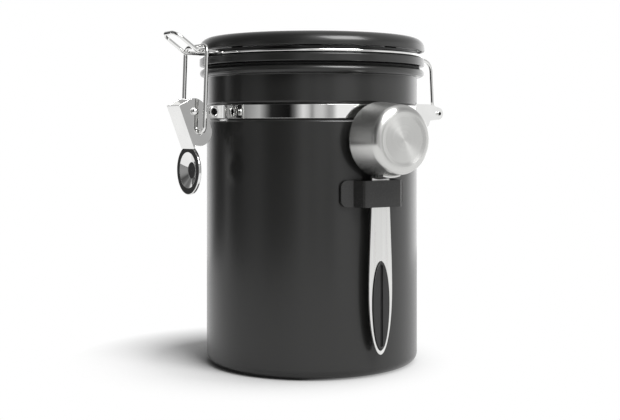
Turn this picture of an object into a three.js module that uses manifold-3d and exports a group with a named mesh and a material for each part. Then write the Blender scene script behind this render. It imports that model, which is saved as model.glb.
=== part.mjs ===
// Coffee canister: steel body, clamp lid on a wire hinge, one-way valve, calendar dials, scoop in a clip.
// Millimetres. +Z up, base on z = 0, clasp towards -X, hinge towards +X, scoop towards -Y.
import * as THREE from "three";
import { mergeVertices } from "three/addons/utils/BufferGeometryUtils.js";
import Module from "manifold-3d";

const wasm = await Module();
wasm.setup();

// Canister body
const bodyRadius = 60;
const wallThickness = 1.2;
const floorThickness = 1.4;
const baseCorner = 5;
const collarRise = 16.3;
const rimHeight = 4.3;
const rimReach = 3.9;
const grooveDepth = 1.1;
const grooveShoulder = 1.6;

// Neck band and its ears
const bandBase = 136.7;
const bandHeight = 7.3;
const bandThickness = 0.8;
const earThickness = 0.9;
const earHalfSpan = 5.9;
const earBend = 2.2;
const eyeletReach = 6.6;
const eyeletBore = 1.8;
const eyeletShank = 2.2;
const eyeletFlange = 2.8;
const eyeletFlangeThickness = 0.4;

// Clasp
const claspPivotReach = 19;
const claspPinRadius = 1.4;
const claspPinHead = 1.9;
const claspPinReach = 2.3;
const leverWidth = 15;
const leverSheet = 1.2;
const leverLobe = 7;
const leverHeelLobe = 7.4;
const leverLobeStartAngle = 75;
const leverLobeEndAngle = 165;
const leverHeelEndAngle = 290;
const leverTopReach = 9;
const leverTopRise = 3.05;
const leverChordDrop = 20;
const leverChordReach = 0.2;
const hookInset = 3.2;
const hookDrop = 10.95;
const thumbRadius = 13.2;
const thumbDrop = 31.4;
const thumbLip = 1.5;
const dishRadius = 9.7;
const dishFloor = 4.4;
const dishDepth = 2.4;
const bailHalfSpan = 12.6;
const bailLean = 1.7;
const bailCorner = 4;
const bailHook = 1.6;

// Wires
const wireRadius = 1.1;
const wireRingReach = 1.8;
const liftHalfSpan = 8;
const liftBendReach = 16.8;
const liftTipReach = 30.4;
const liftRise = 9.6;
const liftCorner = 5;
const wireBend = 3;

// Hinge
const hingeReach = 21;
const hingeLegHalfSpan = 12.3;
const hingeLegReach = 17.4;
const hingeJoggleRise = 6;
const hingeJoggleReach = 2.2;
const hingeShoulder = 7;
const bracketSheet = 1.2;
const bracketDrop = 14.7;
const bracketRise = 1.9;
const bracketLug = 3.65;
const bracketLugStartAngle = -100;
const bracketLugEndAngle = 70;
const bracketRootInset = 0.8;
const bracketTopRun = 14;
const bracketKneeRun = 14.8;
const bracketKneeDrop = 4.2;
const bracketHeelRun = 13.6;
const bracketHeelDrop = 7.2;
const rivetHead = 2.4;
const rivetShank = 1.2;
const rivetHeight = 1;
const rivetPlace = 7;
const rivetRise = 7;

// Lid
const gasketThickness = 1.2;
const gasketReach = 1.5;
const gasketInset = 1.4;
const flangeReach = 4.1;
const flangeHeight = 4.4;
const wireGrooveHeight = 4.1;
const wireGrooveReach = 0.3;
const coverReach = 4.3;
const coverHeight = 7.6;
const coverShoulder = 7;
const coverSkirt = 1.6;
const coverWall = 1.5;
const plugTopInset = 2.6;
const plugBottomInset = 7.7;
const plugDepth = 7.9;
const plugWall = 2;
const deckThickness = 2.6;
const bossRadius = 3.2;
const bossInset = 11;
const screwShank = 1.3;
const screwHead = 2.8;
const screwHeadHeight = 1.8;
const screwCount = 3;

// Calendar dials and vent
const dialThickness = 2.1;
const dayDialOuter = 41;
const dayDialInner = 29.2;
const monthDialOuter = 28.7;
const monthDialInner = 17.5;
const dialGripDepth = 0.9;
const dialGripRadius = 2.6;
const ventRadius = 17;
const ventSlotInner = 2.6;
const ventSlotOuter = 4.5;
const ventSlotCount = 6;
const ventStemRadius = 6;
const ventStemWall = 0.9;

// One-way valve
const valveFlange = 13;
const valveFlangeThickness = 1.5;
const valveTube = 9.7;
const valveBore = 6.2;
const valveTubeTop = 3;
const valveSeatThickness = 1.2;
const valvePortRadius = 0.9;
const valvePortPlace = 3.3;
const valvePortCount = 6;
const valveStemRadius = 0.9;
const flapRadius = 5.2;
const flapThickness = 0.9;
const flapBarb = 1.7;
const flapBarbHeight = 0.8;
const flapLift = 0.8;
const filterThickness = 1.2;

// Scoop and its clip
const scoopStandoff = 5.2;
const scoopCentre = 125.6;
const scoopRim = 19.7;
const scoopRimHeight = 1;
const scoopMouth = 19.6;
const scoopBottom = 17.8;
const scoopDepth = 21.4;
const scoopCorner = 4.4;
const scoopPanel = 12.8;
const scoopPanelDepth = 0.3;
const scoopWall = 0.9;
const handleThickness = 1.2;
const handleNeck = 5.6;
const handleWidest = 7.4;
const handleWidestRise = 46.7;
const handleBase = 12.8;
const handleSaddleLength = 10.8;
const handleSaddleSheet = 1;
const insertRim = 1.8;
const insertFoot = 2.2;
const insertHeight = 46.8;
const insertMiddle = 27.2;
const insertThickness = 1.9;
const insertSlit = 0.7;
const insertSlitDepth = 0.7;
const insertSlitMargin = 1.8;
const clipHeight = 14;
const clipClearance = 0.4;
const clipSheet = 1.2;
const clipHalfSpan = 20.2;
const clipCorner = 3.5;
const clipFrontHalfSpan = 12;
const clipShoulder = 1.6;
const tapeThickness = 0.6;
const tapeInset = 1.4;

// Fits and overruns
const seatGap = 0.3;
const turnGap = 0.3;
const slideGap = 1.2;
const latchGap = 0.9;
const overrun = 2;

// Facets round a turn
const bodyFacets = 48;
const smallFacets = 16;
const wireFacets = 8;
const bendSteps = 4;

// Radial places that follow from the body's radius
const eyeletPlace = bodyRadius + eyeletReach;
const claspPivotPlace = bodyRadius + claspPivotReach;
const wireRingRadius = bodyRadius + wireRingReach;
const liftBendPlace = bodyRadius + liftBendReach;
const liftTipPlace = bodyRadius + liftTipReach;
const hingePlace = bodyRadius + hingeReach;
const hingeLegPlace = bodyRadius + hingeLegReach;
const bracketRoot = bodyRadius - bracketRootInset;
const bracketTopReach = bodyRadius + bracketTopRun;
const bracketKneeReach = bodyRadius + bracketKneeRun;
const bracketHeelReach = bodyRadius + bracketHeelRun;
const gasketOuter = bodyRadius + gasketReach;
const gasketInner = bodyRadius - gasketInset;
const flangeRadius = bodyRadius + flangeReach;
const wireGrooveRadius = bodyRadius + wireGrooveReach;
const coverRadius = bodyRadius + coverReach;
const plugTopRadius = bodyRadius - plugTopInset;
const plugBottomRadius = bodyRadius - plugBottomInset;
const bossPlace = bodyRadius - bossInset;
const scoopPlane = bodyRadius + scoopStandoff;

// Heights that follow from the sizes above
const bandMiddle = bandBase + bandHeight / 2;
const collarTop = bandBase + bandHeight + collarRise;
const bracketBase = bandBase - bracketDrop;
const bracketTop = bandBase + bandHeight + bracketRise;
const rimTop = collarTop + rimHeight;
const gasketBase = rimTop + seatGap;
const flangeBase = gasketBase + gasketThickness + seatGap;
const grooveBase = flangeBase + flangeHeight;
const coverBase = grooveBase + wireGrooveHeight;
const coverTop = coverBase + coverHeight;
const wireHeight = grooveBase + seatGap + wireRadius;
const deckTop = grooveBase - seatGap * 2;
const deckBase = deckTop - deckThickness;
const plugBase = flangeBase - plugDepth;
const dialFloor = coverTop - dialThickness - seatGap;
const innerRadius = bodyRadius - wallThickness;
const crossbarHeight = wireHeight + wireRadius * 2 + latchGap;
const saddleBase = scoopCentre - scoopRim - seatGap - handleSaddleSheet;
const clipBase = saddleBase - clipClearance - clipHeight;

// Materials
function finish(color, roughness, metalness) {
  return new THREE.MeshStandardMaterial({ color, roughness, metalness });
}
const charcoal = () => finish(0x444442, 0.42, 0.55);
const charcoalPlastic = () => finish(0x3a3a39, 0.5, 0);
const chrome = () => finish(0xd8d8d6, 0.08, 1);
const brushedSteel = () => finish(0xc4c4c0, 0.32, 1);
const blackPlastic = () => finish(0x1b1b1b, 0.45, 0);
const blackRubber = () => finish(0x1d1d1d, 0.8, 0);
const whitePlastic = () => finish(0xe8e6e0, 0.5, 0);

// Solids
function toManifold(geometry) {
  const bare = geometry.clone();
  bare.deleteAttribute("normal");
  bare.deleteAttribute("uv");
  const merged = mergeVertices(bare);
  return new wasm.Manifold(new wasm.Mesh({
    numProp: 3,
    vertProperties: merged.attributes.position.array,
    triVerts: merged.index.array,
  }));
}

function toGeometry(manifold) {
  const mesh = manifold.getMesh();
  const geometry = new THREE.BufferGeometry();
  geometry.setAttribute("position", new THREE.BufferAttribute(mesh.vertProperties, mesh.numProp));
  geometry.setIndex(new THREE.BufferAttribute(mesh.triVerts, 1));
  return geometry;
}

// Cuts tools from a base shape, after the given additions are joined to it.
function carve(base, { join = [], cut = [], keep = [] }) {
  let solid = toManifold(base);
  for (const piece of join) solid = solid.add(toManifold(piece));
  for (const piece of keep) solid = solid.intersect(toManifold(piece));
  for (const piece of cut) solid = solid.subtract(toManifold(piece));
  return toGeometry(solid);
}

function piece(name, geometry, material, parent) {
  const mesh = new THREE.Mesh(geometry, material);
  mesh.name = name;
  parent.add(mesh);
  return mesh;
}

// Points of an arc in a lathe profile or an outline, angles in degrees.
function arc(centreX, centreY, radius, from, to, steps = bendSteps) {
  return Array.from({ length: steps + 1 }, (_, i) => {
    const angle = THREE.MathUtils.degToRad(from + ((to - from) * i) / steps);
    return new THREE.Vector2(centreX + radius * Math.cos(angle), centreY + radius * Math.sin(angle));
  });
}

const point = (x, y) => new THREE.Vector2(x, y);

// A turned solid about +Z from a profile of radius and height.
function turned(profile, facets = bodyFacets) {
  const area = THREE.ShapeUtils.area(profile);
  const points = area < 0 ? [...profile].reverse() : [...profile];
  const onAxis = points[0].x === 0 && points.at(-1).x === 0;
  if (!onAxis) points.push(points[0].clone());
  return new THREE.LatheGeometry(points, facets).rotateX(Math.PI / 2);
}

function cylinder(radius, from, to, x = 0, y = 0, facets = smallFacets) {
  return new THREE.CylinderGeometry(radius, radius, to - from, facets)
    .rotateX(Math.PI / 2)
    .translate(x, y, (from + to) / 2);
}

function block(x0, x1, y0, y1, z0, z1) {
  return new THREE.BoxGeometry(x1 - x0, y1 - y0, z1 - z0)
    .translate((x0 + x1) / 2, (y0 + y1) / 2, (z0 + z1) / 2);
}

// An outline in the XY plane raised from one height to another.
function raised(outline, from, to) {
  const shape = new THREE.Shape(outline);
  return new THREE.ExtrudeGeometry(shape, { depth: to - from, bevelEnabled: false }).translate(0, 0, from);
}

// An outline in the XZ plane given a thickness along Y.
function sideways(outline, from, to) {
  return raised(outline, -to, -from).rotateX(Math.PI / 2);
}

// An outline in the YZ plane given a thickness along X.
function outward(outline, from, to) {
  return raised(outline, from, to).rotateZ(Math.PI / 2).rotateY(Math.PI / 2);
}

// A route whose listed points are its steps, so bends keep more steps than straight runs.
class Route extends THREE.Curve {
  constructor(points) {
    super();
    this.points = points;
  }

  getPoint(share, target = new THREE.Vector3()) {
    const place = THREE.MathUtils.clamp(share, 0, 1) * (this.points.length - 1);
    const index = Math.min(Math.floor(place), this.points.length - 2);
    return target.lerpVectors(this.points[index], this.points[index + 1], place - index);
  }

  getPointAt(share, target) {
    return this.getPoint(share, target);
  }

  getTangentAt(share, target) {
    return this.getTangent(share, target);
  }
}

// Rounds each corner of a wire's route; a corner is { at, bend }.
function bent(corners) {
  const points = [corners[0].at];
  for (let i = 1; i < corners.length - 1; i += 1) {
    const { at, bend = 0 } = corners[i];
    if (bend === 0) {
      points.push(at);
      continue;
    }
    const back = corners[i - 1].at.clone().sub(at).normalize();
    const ahead = corners[i + 1].at.clone().sub(at).normalize();
    const half = back.angleTo(ahead) / 2;
    const run = bend / Math.tan(half);
    const start = at.clone().addScaledVector(back, run);
    const end = at.clone().addScaledVector(ahead, run);
    const middle = back.clone().add(ahead).normalize();
    const centre = at.clone().addScaledVector(middle, bend / Math.sin(half));
    const turn = (Math.PI - 2 * half);
    const axis = start.clone().sub(centre).cross(end.clone().sub(centre)).normalize();
    const arm = start.clone().sub(centre);
    for (let step = 0; step <= bendSteps; step += 1) {
      points.push(centre.clone().add(arm.clone().applyAxisAngle(axis, (turn * step) / bendSteps)));
    }
  }
  points.push(corners.at(-1).at);
  return points;
}

// Round wire along a route.
function wire(points) {
  const section = new THREE.Shape(
    Array.from({ length: wireFacets }, (_, i) => {
      const angle = (2 * Math.PI * i) / wireFacets;
      return point(wireRadius * Math.cos(angle), wireRadius * Math.sin(angle));
    }),
  );
  return new THREE.ExtrudeGeometry(section, {
    steps: points.length - 1,
    extrudePath: new Route(points),
    bevelEnabled: false,
  });
}

// Deep-drawn body with a flush band groove in its neck and a rolled rim.
function canisterShell() {
  const grooveFloor = bodyRadius - grooveDepth;
  const rimRadius = rimHeight / 2;
  const rimCentre = bodyRadius + rimReach - rimRadius;
  const bandTop = bandBase + bandHeight;
  const profile = [
    point(0, 0),
    ...arc(bodyRadius - baseCorner, baseCorner, baseCorner, -90, 0),
    point(bodyRadius, bandBase - grooveShoulder),
    point(grooveFloor, bandBase - seatGap),
    point(grooveFloor, bandTop + seatGap),
    point(bodyRadius, bandTop + grooveShoulder),
    point(bodyRadius, collarTop),
    ...arc(rimCentre, collarTop + rimRadius, rimRadius, -90, 90),
    point(innerRadius, rimTop),
    point(innerRadius, bandTop + grooveShoulder + seatGap),
    point(innerRadius - grooveDepth, bandTop + seatGap),
    point(innerRadius - grooveDepth, bandBase - seatGap),
    point(innerRadius, bandBase - grooveShoulder - seatGap),
    point(innerRadius, baseCorner),
    ...arc(bodyRadius - baseCorner, baseCorner, baseCorner - floorThickness, 0, -90).slice(1),
    point(0, floorThickness),
  ];
  return turned(profile);
}

// Band round the neck whose two ends turn outwards as parallel ears.
function neckBand() {
  const outer = bodyRadius;
  const inner = outer - bandThickness;
  const earInner = earHalfSpan - earThickness;
  const reach = claspPivotPlace + bandHeight / 2;
  const turn = (radius, span) => THREE.MathUtils.radToDeg(Math.asin(span / radius));
  const outerFrom = turn(outer, earHalfSpan + earBend);
  const innerFrom = turn(inner, earInner);
  const bendX = Math.sqrt((outer + earBend) ** 2 - (earHalfSpan + earBend) ** 2);
  const outline = [
    ...arc(bendX, earHalfSpan + earBend, earBend, 180 + outerFrom + 1, 270),
    point(reach, earHalfSpan),
    point(reach, earInner),
    ...arc(0, 0, inner, innerFrom, 360 - innerFrom, bodyFacets),
    point(reach, -earInner),
    point(reach, -earHalfSpan),
    ...arc(bendX, -earHalfSpan - earBend, earBend, 90, 180 - outerFrom - 1),
    ...arc(0, 0, outer, 360 - outerFrom - 1, outerFrom + 1, bodyFacets),
  ];
  const end = bandHeight / 2;
  const lug = [
    point(-reach, bandBase - overrun),
    point(claspPivotPlace, bandBase - overrun),
    point(claspPivotPlace, bandBase),
    ...arc(claspPivotPlace, bandMiddle, end, -90, 90, bendSteps * 2),
    point(claspPivotPlace, bandBase + bandHeight + overrun),
    point(-reach, bandBase + bandHeight + overrun),
  ];
  const across = earHalfSpan + overrun;
  const bore = (radius, place) => cylinder(radius, -across, across).rotateX(Math.PI / 2)
    .translate(place, 0, bandMiddle);
  return carve(raised(outline, bandBase, bandBase + bandHeight), {
    keep: [sideways(lug, -reach, reach)],
    cut: [bore(claspPinRadius + turnGap, claspPivotPlace), bore(eyeletShank + seatGap, eyeletPlace)],
  });
}

// Hollow rivet that ties the two ears together.
function bandEyelet() {
  const half = earHalfSpan + seatGap + eyeletFlangeThickness;
  const neck = earHalfSpan + seatGap;
  const profile = [
    point(eyeletBore, -half),
    point(eyeletFlange, -half),
    point(eyeletFlange, -neck),
    point(eyeletShank, -neck),
    point(eyeletShank, neck),
    point(eyeletFlange, neck),
    point(eyeletFlange, half),
    point(eyeletBore, half),
  ];
  return turned(profile, smallFacets).rotateX(Math.PI / 2).translate(eyeletPlace, 0, bandMiddle);
}

// Pin through both ears and the lever, with low domed heads.
function claspPin() {
  const neck = leverWidth / 2 + turnGap;
  const half = leverWidth / 2 + claspPinReach;
  const edge = claspPinHead / 3;
  const profile = [
    point(0, -half),
    point(claspPinHead - edge, -half),
    point(claspPinHead, -half + edge),
    point(claspPinHead, -neck),
    point(claspPinRadius, -neck),
    point(claspPinRadius, neck),
    point(claspPinHead, neck),
    point(claspPinHead, half - edge),
    point(claspPinHead - edge, half),
    point(0, half),
  ];
  return turned(profile, smallFacets).rotateX(Math.PI / 2).translate(claspPivotPlace, 0, bandMiddle);
}

// Pressed lever: a channel that rides on the pin, and a dished thumb plate below it.
function claspLever() {
  const hook = point(claspPivotPlace - hookInset, bandMiddle - hookDrop);
  const faceTop = point(claspPivotPlace + leverTopReach, bandMiddle + leverTopRise);
  const faceEnd = point(claspPivotPlace + leverChordReach, bandMiddle - leverChordDrop);
  const face = faceEnd.clone().sub(faceTop).normalize();
  const inward = point(face.y, -face.x).multiplyScalar(leverSheet);
  const half = leverWidth / 2;
  const outline = [
    faceTop,
    ...arc(claspPivotPlace, bandMiddle, leverLobe, leverLobeStartAngle, leverLobeEndAngle),
    ...arc(hook.x, hook.y, leverHeelLobe, leverLobeEndAngle, leverHeelEndAngle, bendSteps * 2),
    faceEnd,
  ];
  const hollow = [
    faceTop.clone().add(inward).addScaledVector(face, -leverLobe),
    point(hook.x - leverHeelLobe - overrun, faceTop.y + leverLobe),
    point(hook.x - leverHeelLobe - overrun, faceEnd.y - overrun),
    faceEnd.clone().add(inward).addScaledVector(face, overrun),
  ];
  const pinBore = cylinder(claspPinRadius + turnGap, -half - overrun, half + overrun)
    .rotateX(Math.PI / 2).translate(claspPivotPlace, 0, bandMiddle);
  const hookBore = cylinder(wireRadius + turnGap, -half - overrun, half + overrun)
    .rotateX(Math.PI / 2).translate(hook.x, 0, hook.y);
  const channel = carve(sideways(outline, -half, half), {
    cut: [sideways(hollow, -half + leverSheet, half - leverSheet), pinBore, hookBore],
  });
  return carve(channel, { join: [thumbPlate(faceEnd)] });
}

// Round thumb plate with a turned-back lip, cut straight where it joins the channel.
function thumbPlate(faceEnd) {
  const centre = bandMiddle - thumbDrop;
  const slope = dishDepth / (dishRadius - dishFloor);
  const profile = [
    point(0, -dishDepth),
    point(dishFloor, -dishDepth),
    point(dishRadius, 0),
    point(thumbRadius - leverSheet / 2, 0),
    point(thumbRadius, -leverSheet / 2),
    point(thumbRadius, -thumbLip),
    point(thumbRadius - leverSheet, -thumbLip),
    point(thumbRadius - leverSheet, -leverSheet),
    point(dishRadius + leverSheet * slope, -leverSheet),
    point(dishFloor + leverSheet * slope, -dishDepth - leverSheet),
    point(0, -dishDepth - leverSheet),
  ];
  const plate = turned(profile, smallFacets * 2).rotateY(Math.PI / 2).translate(faceEnd.x, 0, centre);
  const span = thumbRadius + overrun;
  const low = centre - span;
  const high = faceEnd.y + leverSheet / 2;
  const below = block(faceEnd.x - span, faceEnd.x + span, -span, span, low, high);
  return carve(plate, { keep: [below] });
}

// Wire bail: a crossbar over the lift wires, two legs and two hooks in the lever.
function claspBail() {
  const hookX = claspPivotPlace - hookInset;
  const hookZ = bandMiddle - hookDrop;
  const barX = hookX - bailLean;
  const hookEnd = leverWidth / 2 - leverSheet - bailHook / 2;
  const at = (x, y, z) => new THREE.Vector3(x, y, z);
  return wire(bent([
    { at: at(hookX, hookEnd, hookZ) },
    { at: at(hookX, bailHalfSpan, hookZ), bend: wireBend },
    { at: at(barX, bailHalfSpan, crossbarHeight), bend: bailCorner },
    { at: at(barX, -bailHalfSpan, crossbarHeight), bend: bailCorner },
    { at: at(hookX, -bailHalfSpan, hookZ), bend: wireBend },
    { at: at(hookX, -hookEnd, hookZ) },
  ]));
}

// One wire from hinge pin to hinge pin: legs, lid groove and the lift loop over the clasp.
function lidWire() {
  const at = (x, y, z) => new THREE.Vector3(x, y, z);
  const ringEntry = Math.sqrt(wireRingRadius ** 2 - hingeLegHalfSpan ** 2);
  const loopEntry = Math.sqrt(wireRingRadius ** 2 - liftHalfSpan ** 2);
  const pinEnd = hingeLegHalfSpan + wireRadius + turnGap * 2 + bracketSheet + claspPinReach / 2;
  const from = Math.atan2(hingeLegHalfSpan, ringEntry);
  const to = Math.PI - Math.atan2(liftHalfSpan, loopEntry);
  const ringSteps = bodyFacets / 2 - bendSteps;
  const joggle = point(hingePlace - hingeJoggleReach, bandMiddle + hingeJoggleRise);
  const half = (side) => {
    const ring = [];
    for (let step = 1; step < ringSteps; step += 1) {
      const angle = from + ((to - from) * step) / ringSteps;
      const [x, y] = [wireRingRadius * Math.cos(angle), wireRingRadius * Math.sin(angle)];
      ring.push({ at: at(x, side * y, wireHeight) });
    }
    return [
      { at: at(hingePlace, side * pinEnd, bandMiddle) },
      { at: at(hingePlace, side * hingeLegHalfSpan, bandMiddle), bend: wireRadius },
      { at: at(joggle.x, side * hingeLegHalfSpan, joggle.y), bend: wireBend },
      { at: at(hingeLegPlace, side * hingeLegHalfSpan, wireHeight), bend: hingeShoulder },
      { at: at(ringEntry, side * hingeLegHalfSpan, wireHeight), bend: wireBend },
      ...ring,
      { at: at(-loopEntry, side * liftHalfSpan, wireHeight), bend: wireBend },
      { at: at(-liftBendPlace, side * liftHalfSpan, wireHeight), bend: wireBend },
      { at: at(-liftTipPlace, side * liftHalfSpan, wireHeight + liftRise), bend: liftCorner },
    ];
  };
  return wire(bent([...half(1), ...half(-1).reverse()]));
}

// Saddle on the neck with two lugs that hold the wire ends.
function hingeBracket() {
  const inner = bodyRadius + seatGap;
  const outer = inner + bracketSheet;
  const lugInner = hingeLegHalfSpan + wireRadius + turnGap + seatGap / 2;
  const lugOuter = lugInner + bracketSheet;
  const span = THREE.MathUtils.radToDeg(Math.asin(lugOuter / outer));
  const steps = bendSteps * 2;
  const web = [...arc(0, 0, outer, -span, span, steps), ...arc(0, 0, inner, span, -span, steps)];
  const lug = [
    point(bracketRoot, bracketBase),
    point(bracketHeelReach, bandMiddle - bracketHeelDrop),
    point(bracketKneeReach, bandMiddle - bracketKneeDrop),
    ...arc(hingePlace, bandMiddle, bracketLug, bracketLugStartAngle, bracketLugEndAngle, bendSteps * 2),
    point(bracketTopReach, bracketTop),
    point(bracketRoot, bracketTop),
  ];
  const pinBore = cylinder(wireRadius + turnGap, -lugOuter - overrun, lugOuter + overrun)
    .rotateX(Math.PI / 2).translate(hingePlace, 0, bandMiddle);
  const rivetBores = [-1, 1].map((side) => cylinder(rivetShank + seatGap, inner - overrun, outer + overrun)
    .rotateY(Math.PI / 2).translate(0, side * rivetPlace, bracketBase + rivetRise));
  return carve(raised(web, bracketBase, bracketTop), {
    join: [sideways(lug, lugInner, lugOuter), sideways(lug, -lugOuter, -lugInner)],
    cut: [pinBore, ...rivetBores],
  });
}

// Low rivet that holds the saddle to the body, on one side of it.
function hingeRivet(side) {
  const start = bodyRadius + seatGap;
  const seat = start + bracketSheet + seatGap;
  const edge = rivetHeight / 2;
  const profile = [
    point(0, start),
    point(rivetShank, start),
    point(rivetShank, seat),
    point(rivetHead, seat),
    point(rivetHead, seat + edge),
    point(rivetHead - edge, seat + rivetHeight),
    point(0, seat + rivetHeight),
  ];
  return turned(profile, smallFacets / 2).rotateY(Math.PI / 2)
    .translate(0, side * rivetPlace, bracketBase + rivetRise);
}

// Lid base: tapered plug, flange, wire groove and the deck that carries the valve.
function lidBase() {
  const edge = seatGap * 2;
  const profile = [
    point(valveTube + seatGap, deckBase),
    point(plugTopRadius - plugWall, deckBase),
    point(plugBottomRadius - plugWall, plugBase),
    point(plugBottomRadius, plugBase),
    point(plugTopRadius, flangeBase),
    point(flangeRadius - edge, flangeBase),
    point(flangeRadius, flangeBase + edge),
    point(flangeRadius, grooveBase - edge),
    point(flangeRadius - edge, grooveBase),
    point(wireGrooveRadius, grooveBase),
    point(wireGrooveRadius, coverBase - seatGap),
    point(wireGrooveRadius - plugWall, coverBase - seatGap),
    point(wireGrooveRadius - plugWall, deckTop),
    point(valveTube + seatGap, deckTop),
  ];
  const hole = screwShank + seatGap;
  const holes = atScrews((x, y) => cylinder(hole, deckBase - overrun, deckTop + overrun, x, y));
  return carve(turned(profile), { cut: holes });
}

// Places the screws evenly round the lid.
function atScrews(make) {
  return Array.from({ length: screwCount }, (_, i) => {
    const angle = (2 * Math.PI * (i + 0.5)) / screwCount;
    return make(bossPlace * Math.cos(angle), bossPlace * Math.sin(angle));
  });
}

// Domed cover with a round recess for the dials and bosses for the screws.
function lidCover() {
  const recess = dayDialOuter + turnGap;
  const roof = dialFloor - coverWall;
  const bore = ventStemRadius + seatGap;
  const shoulderCentre = coverRadius - coverShoulder;
  const shoulderBase = coverBase + coverSkirt;
  const rise = coverTop - shoulderBase;
  const shoulder = arc(0, 0, 1, 0, 90, bendSteps * 2)
    .map(({ x, y }) => point(shoulderCentre + x * coverShoulder, shoulderBase + y * rise));
  const profile = [
    point(bore, roof),
    point(recess + coverWall, roof),
    point(shoulderCentre, coverTop - coverWall * 2),
    point(coverRadius - coverWall, shoulderBase),
    point(coverRadius - coverWall, coverBase),
    point(coverRadius - coverWall / 3, coverBase),
    ...shoulder,
    point(recess, coverTop),
    point(recess, dialFloor),
    point(bore, dialFloor),
  ];
  const bosses = atScrews((x, y) => cylinder(bossRadius, deckTop + seatGap, roof + coverWall, x, y));
  const pilot = screwShank + seatGap / 2;
  const pilots = atScrews((x, y) => cylinder(pilot, deckTop - overrun, roof - seatGap, x, y));
  return carve(turned(profile), { join: bosses, cut: pilots });
}

// Screw from below, through the deck into a boss.
function lidScrew(x, y) {
  const seat = deckBase - seatGap;
  const tip = dialFloor - coverWall - overrun;
  const profile = [
    point(0, seat - screwHeadHeight),
    point(screwHead - seatGap, seat - screwHeadHeight),
    point(screwHead, seat - screwHeadHeight / 2),
    point(screwHead, seat),
    point(screwShank, seat),
    point(screwShank, tip),
    point(0, tip),
  ];
  return turned(profile, smallFacets / 2).translate(x, y, 0);
}

function lidGasket() {
  const edge = gasketThickness / 4;
  return turned([
    point(gasketInner, gasketBase),
    point(gasketOuter - edge, gasketBase),
    point(gasketOuter, gasketBase + edge),
    point(gasketOuter, gasketBase + gasketThickness - edge),
    point(gasketOuter - edge, gasketBase + gasketThickness),
    point(gasketInner, gasketBase + gasketThickness),
  ]);
}

// Ring dial that turns in the recess, with a finger dimple.
function dial(inner, outer) {
  const base = dialFloor + turnGap;
  const top = base + dialThickness - turnGap;
  const ring = turned([point(inner, base), point(outer, base), point(outer, top), point(inner, top)]);
  const dimple = cylinder(dialGripRadius, top - dialGripDepth, top + overrun, (inner + outer) / 2, 0);
  return carve(ring, { cut: [dimple] });
}

// Round cap in the middle of the dials, with curved vent slots and a hollow stem.
function ventCap() {
  const base = dialFloor + seatGap;
  const stemEnd = deckTop + valveTubeTop + seatGap;
  const cap = turned([
    point(0, base),
    point(ventStemRadius - ventStemWall, base),
    point(ventStemRadius - ventStemWall, stemEnd),
    point(ventStemRadius, stemEnd),
    point(ventStemRadius, base),
    point(ventRadius, base),
    point(ventRadius, coverTop - seatGap),
    point(ventRadius - seatGap, coverTop),
    point(0, coverTop),
  ]);
  const slots = Array.from({ length: ventSlotCount }, (_, i) => {
    const from = (360 * i) / ventSlotCount;
    const to = from + 180 / ventSlotCount;
    const outline = [...arc(0, 0, ventSlotOuter, from, to), ...arc(0, 0, ventSlotInner, to, from)];
    return raised(outline, base - overrun, coverTop + overrun);
  });
  return carve(cap, { cut: slots });
}

// Valve body: a flange under the deck, a tube through it and a ported seat.
function valveHousing() {
  const flangeTop = deckBase - seatGap;
  const flangeEnd = flangeTop - valveFlangeThickness;
  const seatBase = seatLevel() - valveSeatThickness;
  const profile = [
    point(0, seatBase),
    point(valveBore, seatBase),
    point(valveBore, flangeEnd),
    point(valveFlange, flangeEnd),
    point(valveFlange, flangeTop),
    point(valveTube, flangeTop),
    point(valveTube, deckTop + valveTubeTop),
    point(valveBore, deckTop + valveTubeTop),
    point(valveBore, seatLevel()),
    point(0, seatLevel()),
  ];
  const ports = Array.from({ length: valvePortCount }, (_, i) => {
    const angle = (2 * Math.PI * i) / valvePortCount;
    return cylinder(valvePortRadius, seatBase - overrun / 2, seatLevel() + overrun / 2,
      valvePortPlace * Math.cos(angle), valvePortPlace * Math.sin(angle), wireFacets);
  });
  const guide = cylinder(valveStemRadius + turnGap, seatBase - overrun / 2, seatLevel() + overrun / 2);
  return carve(turned(profile, smallFacets * 2), { cut: [...ports, guide] });
}

function seatLevel() {
  return deckTop - deckThickness / 4;
}

// Soft flap that lifts off the seat to let gas out; its barb keeps it in.
function valveFlap() {
  const base = seatLevel() + seatGap;
  const barbTop = seatLevel() - valveSeatThickness - flapLift - seatGap;
  return turned([
    point(0, barbTop - flapBarbHeight),
    point(flapBarb, barbTop - flapBarbHeight / 2),
    point(flapBarb, barbTop),
    point(valveStemRadius, barbTop),
    point(valveStemRadius, base),
    point(flapRadius, base),
    point(flapRadius, base + flapThickness / 2),
    point(0, base + flapThickness),
  ], smallFacets);
}

// Felt disc in the mouth of the valve.
function valveFilter() {
  const top = deckBase - seatGap - valveFlangeThickness + filterThickness / 2;
  return turned([
    point(0, top - filterThickness),
    point(valveBore - seatGap, top - filterThickness),
    point(valveBore - seatGap, top),
    point(0, top),
  ], smallFacets * 2);
}

// Spun bowl whose mouth faces the canister; built about the outward axis.
function scoopBowl() {
  const end = scoopPlane + scoopDepth;
  const inside = end - scoopWall - scoopPanelDepth;
  const profile = [
    point(0, end - scoopPanelDepth),
    point(scoopPanel, end - scoopPanelDepth),
    point(scoopPanel + scoopPanelDepth, end),
    ...arc(scoopBottom - scoopCorner, end - scoopCorner, scoopCorner, 90, 0),
    point(scoopMouth, scoopPlane + scoopRimHeight),
    point(scoopRim, scoopPlane + scoopRimHeight - scoopWall / 2),
    point(scoopRim, scoopPlane),
    point(scoopMouth - scoopWall, scoopPlane),
    ...arc(scoopBottom - scoopCorner, end - scoopCorner, scoopCorner - scoopWall, 0, 90),
    point(scoopPanel, inside),
    point(0, inside),
  ];
  return turned(profile, bodyFacets).rotateY(Math.PI / 2).translate(0, 0, scoopCentre);
}

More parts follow.
